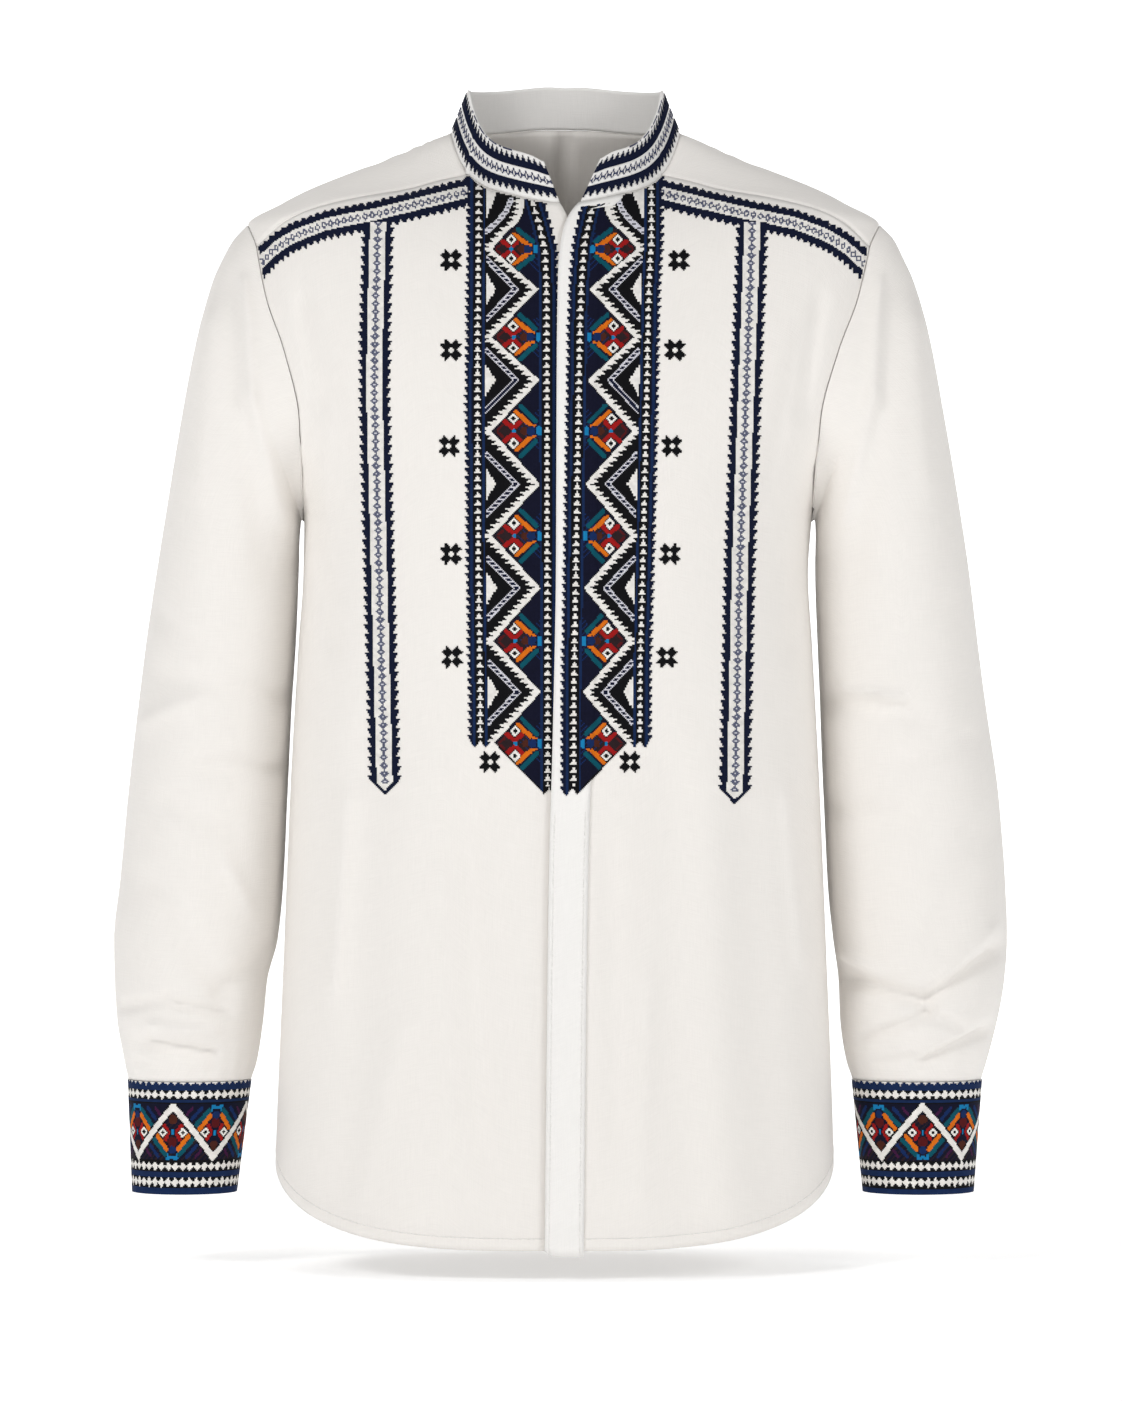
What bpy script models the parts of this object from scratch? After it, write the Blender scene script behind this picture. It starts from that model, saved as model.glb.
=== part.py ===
"""Embroidered linen folk shirt (vyshyvanka), filled out and hollow, as it hangs when worn.

Frame: +X is the wearer's left, the front faces -Y, +Z is up. Tables and named sizes are in
millimetres, and the meshes are made in metres. The origin lies at the base of the neck, between
the shoulders.

The body of the shirt is one smooth form: a stack of level rings, each a superellipse with its own
half width, front depth and back depth. Every panel of the body is a patch on that form, so that
neighbouring panels meet at their seams. A point of the form is given by its height and by its
turn: 0 at the side, +90 degrees at the middle of the back, -90 degrees at the middle of the front.
"""

import math

import bpy
import numpy as np

MM = 0.001
COLLECTION = "vyshyvanka_shirt"

# Cloth
CLOTH = 1.2
BAND_CLOTH = 2.0
SEAM_GAP = 0.3
# Walls lean toward each other inside a convex seam, so their outer edges stand further apart
OUTER_SEAM_GAP = 0.6
SUPERELLIPSE = 2.3

# Rings of the body: height, centre x, half width, front depth, back depth
RINGS = (
    (22.0, 3.5, 60.0, 8.0, 65.5),
    (13.0, 3.5, 79.0, 14.0, 68.0),
    (6.0, 3.0, 96.5, 19.0, 72.0),
    (-8.0, 2.5, 129.0, 28.0, 80.0),
    (-21.0, 2.5, 163.0, 37.5, 87.0),
    (-30.0, 2.5, 184.0, 47.0, 91.5),
    (-38.5, 2.5, 200.0, 59.5, 95.0),
    (-53.0, 2.5, 224.0, 71.5, 100.0),
    (-79.0, 2.0, 229.0, 86.0, 105.5),
    (-106.0, 1.5, 230.0, 96.0, 109.0),
    (-142.0, 1.0, 224.0, 107.0, 112.5),
    (-192.0, 0.0, 204.0, 117.0, 115.0),
    (-230.0, -1.0, 188.0, 121.0, 114.0),
    (-263.0, -1.5, 180.0, 123.0, 113.0),
    (-300.0, -3.0, 179.0, 123.0, 112.0),
    (-350.0, -3.3, 182.0, 122.0, 110.5),
    (-450.0, -3.5, 187.5, 119.0, 109.0),
    (-560.0, -3.5, 192.0, 118.0, 109.0),
    (-700.0, -3.8, 197.5, 118.0, 111.0),
    (-790.0, -4.0, 199.5, 118.0, 112.0),
)
ARMPIT_Z = -263.0
SHOULDER_TIP_Z = -53.0

# Armhole seam: height, distance from the body's centre line
ARMHOLE_FRONT = (
    (SHOULDER_TIP_Z, 224.0),
    (-60.0, 220.5),
    (-71.0, 215.8),
    (-82.0, 213.5),
    (-110.0, 206.8),
    (-146.0, 193.6),
    (-195.0, 182.0),
    (ARMPIT_Z, 180.0),
)
ARMHOLE_BACK = (
    (SHOULDER_TIP_Z, 224.0),
    (-90.0, 217.5),
    (-130.0, 208.0),
    (-170.0, 197.0),
    (-210.0, 186.0),
    (-240.0, 181.5),
    (ARMPIT_Z, 180.0),
)

# Shoulder seam, forward of the ridge: distance from the body's centre line, height
SHOULDER_SEAM = (
    (69.0, -20.5),
    (87.0, -24.5),
    (109.0, -31.0),
    (141.5, -36.5),
    (173.6, -44.0),
    (194.7, -53.0),
    (215.8, -71.0),
)
SHOULDER_SEAM_INNER = SHOULDER_SEAM[0][0]
SHOULDER_SEAM_OUTER_Z = SHOULDER_SEAM[-1][1]

# Neckline, an ellipse in plan. Its height is looked for between two limits, by halving steps
NECK_CENTRE_X = 3.9
NECK_HALF_WIDTH = 81.3
NECK_FRONT = 64.0
NECK_BACK = 66.0
NECK_LOWEST_Z = -60.0
HALVING_STEPS = 40

# Hem: a curved shirt tail that rises to the side seams
HEM_SIDE_Z = -714.0
HEM_FRONT_DROP = 56.5
HEM_BACK_DROP = 62.0
HEM_ROUNDNESS = 3.4
HEM_MIDDLE_Z = -740.0

# Edge of the overlapping front, and the hidden edge of the front under it: height, x
OVER_EDGE = (
    (-40.0, 17.1),
    (-46.0, 11.0),
    (-54.0, 5.6),
    (-66.0, 1.5),
    (-90.0, -1.2),
    (-150.0, -2.2),
    (-300.0, -2.8),
    (-423.0, -5.2),
    (-506.0, -7.6),
    (-775.0, -10.7),
)
UNDER_EDGE = (
    (-42.0, -0.7),
    (-54.0, 5.6),
    (-66.0, 9.0),
    (-90.0, 12.0),
    (-150.0, 14.0),
    (-500.0, 12.0),
    (-775.0, 9.0),
)
# The front beneath is tucked back by this depth, over a ramp beside the overlapping edge
TUCK_DEPTH = CLOTH + 0.8
TUCK_RAMP = 9.0
TUCK_BESIDE_EDGE = 2.0
TUCK_LEAST_WIDTH = 5.0
TUCK_STARTS_Z = -42.0
TUCK_FULL_Z = -56.0

# Placket band on the overlapping front
PLACKET_WIDTH = 27.0
PLACKET_BELOW_HEM = 4.0
PLACKET_BELOW_COLLAR_ROWS = 0.3

# Box pleat below the collar at the middle of the back
PLEAT_HALF_WIDTH = 5.6
PLEAT_SIDE = 1.0
PLEAT_HEIGHT = 2.0
PLEAT_FADES_Z = -420.0

# Soft folds of the body, front then back: x and height of each end, half width, depth (+ is a ridge)
FRONT_FOLDS = (
    (-131.0, -430.0, -145.0, -730.0, 17.0, -3.2),
    (-148.0, -330.0, -157.0, -600.0, 11.0, 1.4),
    (-93.0, -440.0, -110.0, -730.0, 24.0, 1.8),
    (-62.0, -450.0, -52.0, -740.0, 12.0, -1.5),
    (73.0, -440.0, 87.0, -750.0, 17.0, -2.6),
    (104.0, -440.0, 114.0, -740.0, 15.0, 2.0),
    (131.0, -480.0, 146.0, -730.0, 16.0, -2.4),
)
BACK_FOLDS = (
    (-60.0, -330.0, -72.0, -740.0, 20.0, -3.2),
    (-105.0, -300.0, -122.0, -730.0, 20.0, 2.2),
    (58.0, -330.0, 66.0, -740.0, 20.0, -3.4),
    (104.0, -280.0, 126.0, -730.0, 22.0, 2.4),
    (0.0, -480.0, -2.0, -760.0, 26.0, 2.0),
)

# Folds of the back show from here backward
BACK_FOLDS_FULL_Y = 60.0

# Sleeves, outer edge: height, distance out on the -X side and on the +X side
SLEEVE_OUTER = (
    (SHOULDER_TIP_Z, 221.5, 226.5),
    (-64.0, 231.5, 237.1),
    (-78.0, 239.3, 244.2),
    (-92.0, 245.7, 250.6),
    (-121.0, 254.2, 259.2),
    (-149.0, 260.6, 265.5),
    (-192.0, 268.7, 273.4),
    (-234.0, 276.2, 280.5),
    (-291.0, 285.4, 289.7),
    (-348.0, 293.9, 296.8),
    (-405.0, 301.0, 304.6),
    (-461.0, 307.4, 312.4),
    (-518.0, 313.1, 316.7),
    (-561.0, 317.4, 318.0),
    (-589.0, 316.9, 316.0),
    (-618.0, 315.2, 311.0),
    (-646.0, 310.3, 303.9),
    (-660.0, 307.1, 299.6),
)
# Sleeves, inner edge: height, distance out on the -X side and on the +X side
SLEEVE_INNER = (
    (ARMPIT_Z, 183.8, 180.8),
    (-277.0, 185.0, 181.2),
    (-291.0, 185.6, 181.2),
    (-348.0, 188.0, 183.0),
    (-405.0, 191.4, 185.3),
    (-461.0, 194.2, 187.6),
    (-518.0, 196.7, 190.3),
    (-561.0, 200.9, 194.5),
    (-589.0, 208.0, 198.1),
    (-618.0, 210.9, 199.4),
    (-646.0, 215.1, 203.6),
    (-660.0, 219.7, 208.0),
)
# Sleeves, depth: height, half depth, y of the middle
SLEEVE_DEPTH = (
    (SHOULDER_TIP_Z, 58.0, -6.0),
    (-291.0, 61.0, 4.0),
    (-405.0, 62.0, 10.0),
    (-518.0, 60.0, 12.0),
    (-589.0, 56.0, 11.0),
    (-618.0, 53.0, 10.0),
    (-646.0, 45.0, 8.5),
    (-660.0, 38.5, 8.0),
)
# The rows of a sleeve turn from the plane of the armhole to level: outer height, inner height
SLEEVE_FAN = (
    (-61.0, ARMPIT_Z),
    (-71.0, -264.5),
    (-84.0, -267.0),
    (-102.0, -270.0),
    (-126.0, -273.5),
    (-156.0, -277.5),
    (-192.0, -282.0),
    (-234.0, -286.5),
    (-291.0, -291.0),
)
SLEEVE_LEVEL_ROWS = (
    -330.0, -364.0, -384.0, -406.0, -430.0, -446.0, -472.0, -500.0,
    -528.0, -552.0, -572.0, -590.0, -607.0, -624.0, -642.0, -659.4,
)
# Rows over which a sleeve leaves the shape of its armhole: at the armpit, across the depth, more at the tip
ARMHOLE_ROWS_LEAST = 1.5
ARMHOLE_ROWS_DEPTH = 5.5
ARMHOLE_ROWS_MORE_AT_TIP = 4.0
CUFF_GATHER_LENGTH = 18.0

# Largest folds of the sleeves, on the front: x and height of each end, half width, depth
RIGHT_SLEEVE_FOLDS = (
    (-232.0, -105.0, -206.0, -300.0, 11.0, -3.0),
    (-272.0, -374.0, -194.0, -386.0, 9.0, -3.2),
    (-244.0, -438.0, -200.0, -436.0, 8.0, -4.0),
    (-288.0, -522.0, -240.0, -590.0, 9.0, -4.0),
    (-236.0, -598.0, -205.0, -566.0, 8.0, -3.6),
    (-292.0, -632.0, -244.0, -640.0, 7.0, -2.6),
)
LEFT_SLEEVE_FOLDS = (
    (238.0, -105.0, 206.0, -300.0, 11.0, -2.6),
    (190.0, -391.0, 244.0, -398.0, 9.0, -4.4),
    (190.0, -466.0, 240.0, -474.0, 8.0, -2.8),
    (292.0, -492.0, 262.0, -552.0, 12.0, -2.6),
    (200.0, -586.0, 254.0, -602.0, 8.0, -4.0),
    (256.0, -602.0, 310.0, -566.0, 8.0, -3.6),
    (252.0, -647.0, 302.0, -624.0, 7.0, -2.8),
)

# Cuffs: height, centre and half width on the -X side, the same on the +X side, half depth, middle y
CUFF_RINGS = (
    (-660.0, 263.4, 43.7, 253.8, 45.8, 38.5, 8.0),
    (-686.0, 264.6, 41.5, 254.1, 43.5, 36.8, 7.6),
    (-713.0, 265.8, 39.2, 254.4, 41.2, 34.9, 7.2),
    (-739.5, 267.0, 37.0, 254.7, 38.9, 33.0, 7.0),
)
CUFF_COLUMNS = 28

# Collar: a stand that leans in, with a gap at the front
COLLAR_RISE = 30.5
COLLAR_TOP_HALF_WIDTH = 69.2
COLLAR_TOP_FRONT = 58.0
COLLAR_TOP_BACK = 60.0
COLLAR_TOP_TURNS = (-69.3, 257.4)
COLLAR_CORNER_DROP = 2.5
COLLAR_CORNER_LENGTH = 6.0
COLLAR_ROWS = 5
COLLAR_LIFT = 0.35

# Grids of the body panels
SIDE_SEAM_ROWS = 12
FRONT_NECK_COLUMNS = 3
BACK_NECK_COLUMNS = 7
SHOULDER_COLUMNS = 8
RELAXING_ROUNDS = 4
RELAXING_SHARE = 0.8
EDGE_POINTS = 120

# A front's top edge is looked for in steps, from a first height; near the middle it is the neckline
TOP_EDGE_STEPS = 8
TOP_EDGE_FIRST_Z = -40.0
NECKLINE_ALONE_WITHIN = 54.0
PAST_MIDDLE = 20.0
FRONT_NECK_Z = -30.0

# Points round an armhole, which its sleeve shares: tip to shoulder seam, on to the armpit, and back
ARMHOLE_STEPS = (2, 10, 12)

# Colours and finish of each piece
MATERIALS = {
    "linen": ((0.90, 0.87, 0.83), 0.85),
    "linen_underlap": ((0.88, 0.85, 0.81), 0.86),
    "linen_back": ((0.89, 0.86, 0.82), 0.86),
    "linen_sleeve": ((0.90, 0.87, 0.82), 0.85),
    "linen_placket": ((0.93, 0.91, 0.88), 0.80),
    "embroidered_collar": ((0.10, 0.12, 0.22), 0.70),
    "embroidered_cuff": ((0.08, 0.09, 0.16), 0.70),
}


def through(table, column, at):
    """Monotone cubic curve through one column of a table whose first column is the position."""
    rows = np.array(sorted(table))
    knots = rows[:, 0]
    values = rows[:, column]
    gaps = np.diff(knots)
    slopes = np.diff(values) / gaps
    tangents = np.zeros(len(knots))
    tangents[0] = slopes[0]
    tangents[-1] = slopes[-1]
    before = slopes[:-1]
    after = slopes[1:]
    same_way = before * after > 0.0
    total = np.where(same_way, before + after, 1.0)
    tangents[1:-1] = np.where(same_way, 2.0 * before * after / total, 0.0)
    at = np.clip(at, knots[0], knots[-1])
    index = np.clip(np.searchsorted(knots, at, side="right") - 1, 0, len(gaps) - 1)
    gap = gaps[index]
    t = (at - knots[index]) / gap
    start = (2.0 * t**3 - 3.0 * t**2 + 1.0) * values[index]
    start_slope = (t**3 - 2.0 * t**2 + t) * gap * tangents[index]
    end = (3.0 * t**2 - 2.0 * t**3) * values[index + 1]
    end_slope = (t**3 - t**2) * gap * tangents[index + 1]
    return start + start_slope + end + end_slope


def ease(t):
    """Smooth step from 0 to 1."""
    t = np.clip(t, 0.0, 1.0)
    return t * t * (3.0 - 2.0 * t)


# The form of the body

def body_centre(z):
    return through(RINGS, 1, z)


def body_half_width(z):
    return through(RINGS, 2, z)


def body_point(side, turn, z):
    """Point of the body form. side is -1 or +1, turn is in radians, + toward the back."""
    depth = np.where(turn > 0.0, through(RINGS, 4, z), through(RINGS, 3, z))
    across = np.abs(np.cos(turn)) ** (2.0 / SUPERELLIPSE)
    along = np.sign(turn) * np.abs(np.sin(turn)) ** (2.0 / SUPERELLIPSE)
    x = body_centre(z) + side * body_half_width(z) * across
    return np.stack(np.broadcast_arrays(x, depth * along, z), axis=-1)


def turn_of(distance, z):
    """Size of the turn at a distance from the body's centre line."""
    part = np.clip(np.abs(distance) / body_half_width(z), 0.0, 1.0)
    return np.arccos(part ** (SUPERELLIPSE / 2.0))


def neck_height(x, y):
    """Height at which the body form is met by an upright line, by halving steps."""
    low = np.full(np.shape(x), NECK_LOWEST_Z)
    high = np.full(np.shape(x), RINGS[0][0])
    for _ in range(HALVING_STEPS):
        middle = 0.5 * (low + high)
        depth = np.where(y > 0.0, through(RINGS, 4, middle), through(RINGS, 3, middle))
        across = np.abs(x - body_centre(middle)) / body_half_width(middle)
        along = np.abs(y) / depth
        outside = across**SUPERELLIPSE + along**SUPERELLIPSE > 1.0
        high = np.where(outside, middle, high)
        low = np.where(outside, low, middle)
    return 0.5 * (low + high)


def neckline(turn):
    """Neckline point at a turn in plan: 0 is the +X side, +90 degrees the back."""
    x = NECK_CENTRE_X + NECK_HALF_WIDTH * np.cos(turn)
    y = np.where(np.sin(turn) > 0.0, NECK_BACK, NECK_FRONT) * np.sin(turn)
    return np.stack([x, y, neck_height(x, y)], axis=-1)


def neck_height_at(x, back):
    """Height of the front or back neckline at x."""
    part = np.clip((x - NECK_CENTRE_X) / NECK_HALF_WIDTH, -1.0, 1.0)
    y = (NECK_BACK if back else -NECK_FRONT) * np.sqrt(1.0 - part**2)
    return neck_height(x, y)


def creases(x, z, folds):
    """Height of soft folds at (x, z): each a straight trough or ridge that fades at its ends."""
    total = np.zeros(np.shape(x))
    for x_start, z_start, x_end, z_end, half_width, depth in folds:
        run = np.hypot(x_end - x_start, z_end - z_start)
        along = ((x - x_start) * (x_end - x_start) + (z - z_start) * (z_end - z_start)) / run**2
        aside = ((x - x_start) * (z_end - z_start) - (z - z_start) * (x_end - x_start)) / run
        past_end = np.maximum(np.maximum(-along, along - 1.0), 0.0) * run / half_width
        total = total + depth * np.exp(-(aside / half_width) ** 2 - 0.5 * past_end**2)
    return total


def surface_normals(points, closed=False):
    """Unit normals of a grid of points, along its columns crossed with its rows."""
    if closed:
        wrapped = np.concatenate([points[:, -1:], points, points[:, :1]], axis=1)
        across = (wrapped[:, 2:] - wrapped[:, :-2]) * 0.5
    else:
        across = np.gradient(points, axis=1)
    upward = np.gradient(points, axis=0)
    normal = np.cross(across, upward)
    return normal / np.maximum(np.linalg.norm(normal, axis=-1, keepdims=True), 1e-9)


def moved_out(points, distance, flip, closed=False):
    """Points moved out from their own surface."""
    sign = -1.0 if flip else 1.0
    return points + sign * surface_normals(points, closed) * np.asarray(distance)[..., None]


def hem_height(part, drop):
    """Height of the hem where part is the distance out as a share of the half width."""
    return HEM_SIDE_Z - drop * np.sqrt(1.0 - np.clip(part, 0.0, 1.0) ** HEM_ROUNDNESS)


# The seams of the body

def armhole_angles():
    """Angles round an armhole: 0 is the shoulder tip, 90 degrees the front, 180 the armpit."""
    fall = (SHOULDER_TIP_Z - SHOULDER_SEAM_OUTER_Z) / (SHOULDER_TIP_Z - ARMPIT_Z)
    seam = math.acos(1.0 - 2.0 * fall)
    to_seam = np.linspace(0.0, seam, ARMHOLE_STEPS[0] + 1)[:-1]
    down_front = np.linspace(seam, math.pi, ARMHOLE_STEPS[1] + 1)[:-1]
    up_back = np.linspace(math.pi, 2.0 * math.pi, ARMHOLE_STEPS[2] + 1)[:-1]
    return np.concatenate([to_seam, down_front, up_back])


def armhole_loop(side):
    """Armhole seam of one side, a point for each of its angles."""
    angles = armhole_angles()
    z = SHOULDER_TIP_Z + (ARMPIT_Z - SHOULDER_TIP_Z) * 0.5 * (1.0 - np.cos(angles))
    in_front = np.arange(len(angles)) < ARMHOLE_STEPS[0] + ARMHOLE_STEPS[1]
    out = np.where(in_front, through(ARMHOLE_FRONT, 1, z), through(ARMHOLE_BACK, 1, z))
    turn = turn_of(out, z) * np.where(in_front, -1.0, 1.0)
    return body_point(side, turn, z)


def side_seam_heights():
    return np.linspace(HEM_SIDE_Z, ARMPIT_Z, SIDE_SEAM_ROWS + 1)


# The fronts

def shoulder_seam_curve():
    """Shoulder seam from the armhole in to the neck, as turns and heights."""
    seam_out = np.linspace(SHOULDER_SEAM[-1][0], SHOULDER_SEAM_INNER, EDGE_POINTS)
    seam_z = through(SHOULDER_SEAM, 1, seam_out)
    return turn_of(seam_out, seam_z), seam_z


def shoulder_seam_turns():
    """Turns at which both the front and the back have a column on the shoulder seam."""
    turns, _ = shoulder_seam_curve()
    return np.linspace(turns[-1], turns[0], SHOULDER_COLUMNS + 1)


def front_top_curve(side):
    """Top edge of a front as turns and heights: the shoulder seam, then the neckline."""
    seam_turn, seam_z = shoulder_seam_curve()
    neck_out = np.linspace(SHOULDER_SEAM_INNER, -PAST_MIDDLE, EDGE_POINTS)[1:]
    neck_x = body_centre(FRONT_NECK_Z) + side * neck_out
    neck_z = neck_height_at(neck_x, back=False)
    neck_turn = turn_of(np.maximum(side * (neck_x - body_centre(neck_z)), 0.0), neck_z)
    turns = np.concatenate([seam_turn, neck_turn])
    heights = np.concatenate([seam_z - OUTER_SEAM_GAP, neck_z])
    return turns, heights


def front_row_shares():
    """Rows of a front as shares of its height at the side, set by the side seam and the armhole."""
    first = ARMHOLE_STEPS[0]
    last = first + ARMHOLE_STEPS[1]
    armhole = armhole_loop(1.0)[first:last, 2][::-1]
    heights = np.concatenate([side_seam_heights(), armhole])
    return (heights - heights[0]) / (heights[-1] - heights[0])


def front_outer_turn(z):
    """Turn of the side seam below the armpit and of the armhole seam above it."""
    in_armhole = np.clip(z, ARMPIT_Z, SHOULDER_SEAM_OUTER_Z)
    turn = turn_of(through(ARMHOLE_FRONT, 1, in_armhole), in_armhole)
    return np.where(z > ARMPIT_Z, turn, 0.0)


def front_columns(side, z, inner_columns):
    """x of each column of a front at heights z, from the middle edge out to the side."""
    inner = inner_columns(z)
    centre = body_centre(z)
    start = turn_of(np.maximum(side * (inner[-1] - centre), 0.0), z)
    junction = shoulder_seam_turns()[0]
    end = front_outer_turn(z)
    turns = []
    for step in range(1, FRONT_NECK_COLUMNS + 1):
        turns.append(start + (junction - start) * step / FRONT_NECK_COLUMNS)
    for step in range(1, SHOULDER_COLUMNS + 1):
        turns.append(junction + (end - junction) * step / SHOULDER_COLUMNS)
    columns = list(inner)
    for turn in turns:
        across = np.cos(turn) ** (2.0 / SUPERELLIPSE)
        columns.append(centre + side * body_half_width(z) * across)
    return np.array(columns)


def front_grid(side, inner_columns):
    """Grid of a front, rows from the hem up and columns from the middle edge out."""
    top_turns, top_heights = front_top_curve(side)
    order = np.argsort(top_turns)
    count = len(inner_columns(np.array(0.0))) + FRONT_NECK_COLUMNS + SHOULDER_COLUMNS
    hem_x = front_columns(side, np.array(HEM_MIDDLE_Z), inner_columns)
    hem_part = np.abs(hem_x - body_centre(HEM_MIDDLE_Z)) / body_half_width(HEM_MIDDLE_Z)
    bottom = hem_height(hem_part, HEM_FRONT_DROP)
    top = np.full(count, TOP_EDGE_FIRST_Z)
    for _ in range(TOP_EDGE_STEPS):
        top_x = np.array([front_columns(side, top[k], inner_columns)[k] for k in range(count)])
        out = side * (top_x - body_centre(top))
        turn = turn_of(np.maximum(out, 0.0), top)
        seam_or_neck = np.interp(turn, top_turns[order], top_heights[order])
        near_middle = neck_height_at(top_x, back=False)
        top = np.where(out < NECKLINE_ALONE_WITHIN, near_middle, seam_or_neck)
    bottom[-1] = HEM_SIDE_Z
    top[-1] = SHOULDER_SEAM_OUTER_Z
    z = bottom + (top - bottom) * front_row_shares()[:, None]
    z[-1, -1] -= OUTER_SEAM_GAP
    x = np.empty_like(z)
    for column in range(count):
        x[:, column] = front_columns(side, z[:, column], inner_columns)[column]
    turn = -turn_of(x - body_centre(z), z)
    turn_side = np.sign(x - body_centre(z))
    points = body_point(turn_side, turn, z)
    at_side = z[:, -1] <= ARMPIT_Z
    points[at_side, -1, 1] -= 0.5 * OUTER_SEAM_GAP
    return points


def over_columns(z):
    """Middle columns of the overlapping front: its edge and the width of the placket."""
    edge = through(OVER_EDGE, 1, z)
    return np.array([edge, edge + 0.5 * PLACKET_WIDTH, edge + PLACKET_WIDTH])


def under_columns(z):
    """Middle columns of the front beneath: hidden edge, start and end of the tuck."""
    edge = through(UNDER_EDGE, 1, z)
    tucked = np.minimum(through(OVER_EDGE, 1, z) - TUCK_BESIDE_EDGE, edge - TUCK_LEAST_WIDTH)
    return np.array([edge, tucked, tucked - TUCK_RAMP])


def front_left_grid():
    points = front_grid(1.0, over_columns)
    folds = creases(points[..., 0], points[..., 2], FRONT_FOLDS)
    return moved_out(points, folds, flip=False)


def front_right_grid():
    points = front_grid(-1.0, under_columns)
    folds = creases(points[..., 0], points[..., 2], FRONT_FOLDS)
    height = points[..., 2]
    strength = ease((TUCK_STARTS_Z - height) / (TUCK_STARTS_Z - TUCK_FULL_Z))
    tuck = np.zeros_like(height)
    tuck[:, :2] = TUCK_DEPTH
    return moved_out(points, folds - tuck * strength, flip=True)


def placket_grid(front):
    """The placket is made from the points of the front that it lies on, moved out."""
    points = moved_out(front, np.full(front.shape[:2], SEAM_GAP + CLOTH), flip=False)[:, :3].copy()
    points[-1] += PLACKET_BELOW_COLLAR_ROWS * (points[-2] - points[-1])
    points[0, :, 2] -= PLACKET_BELOW_HEM
    return points


# The back, which wraps over the shoulders to the forward shoulder seams

def evenly(curve, shares):
    """Points of a curve at shares of its length."""
    steps = np.linalg.norm(np.diff(curve, axis=0), axis=-1)
    run = np.concatenate([[0.0], np.cumsum(steps)])
    return np.stack([np.interp(shares, run / run[-1], curve[:, k]) for k in range(3)], axis=-1)


def back_armhole_edge(side):
    """Armhole from the armpit up the back, over the tip, and forward to the shoulder seam."""
    loop = armhole_loop(side)
    return np.roll(loop, ARMHOLE_STEPS[2], axis=0)[:ARMHOLE_STEPS[2] + ARMHOLE_STEPS[0] + 1]


def back_top_edge(side, start_out):
    """Columns of half a back at its top edge: round the neckline, then along the shoulder seam."""
    seam_turns, seam_heights = shoulder_seam_curve()
    joint = body_point(side, -seam_turns[-1], seam_heights[-1])
    start = math.acos(start_out / NECK_HALF_WIDTH)
    end = math.asin(max(joint[1] / NECK_FRONT, -1.0))
    turn_in_plan = np.linspace(start, end, EDGE_POINTS)
    neck = neckline(turn_in_plan if side > 0.0 else math.pi - turn_in_plan)
    neck[-1] = joint
    round_neck = evenly(neck, np.linspace(0.0, 1.0, BACK_NECK_COLUMNS + 1))
    turns = shoulder_seam_turns()[1:]
    heights = np.interp(turns, seam_turns, seam_heights)
    return np.concatenate([round_neck, body_point(side, -turns, heights)])


def beyond_body(points):
    """How far points lie outside the body form, as a share of its size there."""
    x, y, z = np.moveaxis(points, -1, 0)
    depth = np.where(y > 0.0, through(RINGS, 4, z), through(RINGS, 3, z))
    across = np.abs(x - body_centre(z)) / body_half_width(z)
    total = across**SUPERELLIPSE + (np.abs(y) / depth) ** SUPERELLIPSE
    return total ** (1.0 / SUPERELLIPSE) - 1.0


def onto_body(points):
    """Points brought onto the body form, square to it, by Newton steps."""
    reach = 0.05
    for _ in range(12):
        beyond = beyond_body(points)
        slope = np.empty_like(points)
        for axis in range(3):
            offset = np.zeros(3)
            offset[axis] = reach
            ahead = beyond_body(points + offset)
            behind = beyond_body(points - offset)
            slope[..., axis] = (ahead - behind) / (2.0 * reach)
        square = np.sum(slope**2, axis=-1)
        points = points - (beyond / np.maximum(square, 1e-9))[..., None] * slope
    return points


def relaxed(grid):
    """Inner points of a grid evened out between their neighbours, on the form, but by the armhole."""
    columns = grid.shape[1]
    from_armhole = columns - 1.0 - np.arange(1, columns - 1)
    share = RELAXING_SHARE * ease(from_armhole / (0.5 * columns))[:, None]
    for _ in range(RELAXING_ROUNDS):
        for _ in range(4):
            beside = grid[1:-1, :-2] + grid[1:-1, 2:]
            above_and_below = grid[:-2, 1:-1] + grid[2:, 1:-1]
            even = 0.25 * (beside + above_and_below)
            grid[1:-1, 1:-1] += share * (even - grid[1:-1, 1:-1])
        grid[1:-1, 1:-1] = onto_body(grid[1:-1, 1:-1])
    return grid


def armpit_row(side, start_out):
    """Columns of half a back at the height of the armpit, from its first column out to the side."""
    shares = np.linspace(0.0, 1.0, BACK_NECK_COLUMNS + SHOULDER_COLUMNS + 1)
    turns = np.linspace(float(turn_of(start_out, ARMPIT_Z)), 0.0, EDGE_POINTS)
    return evenly(body_point(side, turns, np.full(EDGE_POINTS, ARMPIT_Z)), shares)


def back_half_upper(side, start_out):
    """Upper half of the back, blended between its four edges and brought onto the form."""
    outer = back_armhole_edge(side)
    rows = np.linspace(0.0, 1.0, len(outer))
    columns = np.linspace(0.0, 1.0, BACK_NECK_COLUMNS + SHOULDER_COLUMNS + 1)
    top = back_top_edge(side, start_out)
    middle_z = np.linspace(ARMPIT_Z, top[0, 2], EDGE_POINTS)
    middle = evenly(body_point(side, turn_of(start_out, middle_z), middle_z), rows)
    bottom = armpit_row(side, start_out)
    v = rows[:, None, None]
    w = columns[None, :, None]
    sides = (1.0 - w) * middle[:, None] + w * outer[:, None]
    ends = (1.0 - v) * bottom[None] + v * top[None]
    low_corners = (1.0 - v) * ((1.0 - w) * bottom[0] + w * bottom[-1])
    high_corners = v * ((1.0 - w) * top[0] + w * top[-1])
    blend = sides + ends - low_corners - high_corners
    grid = onto_body(blend)
    grid[0] = bottom
    grid[-1] = top
    grid[:, 0] = middle
    grid[:, -1] = outer
    return relaxed(grid)


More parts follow.
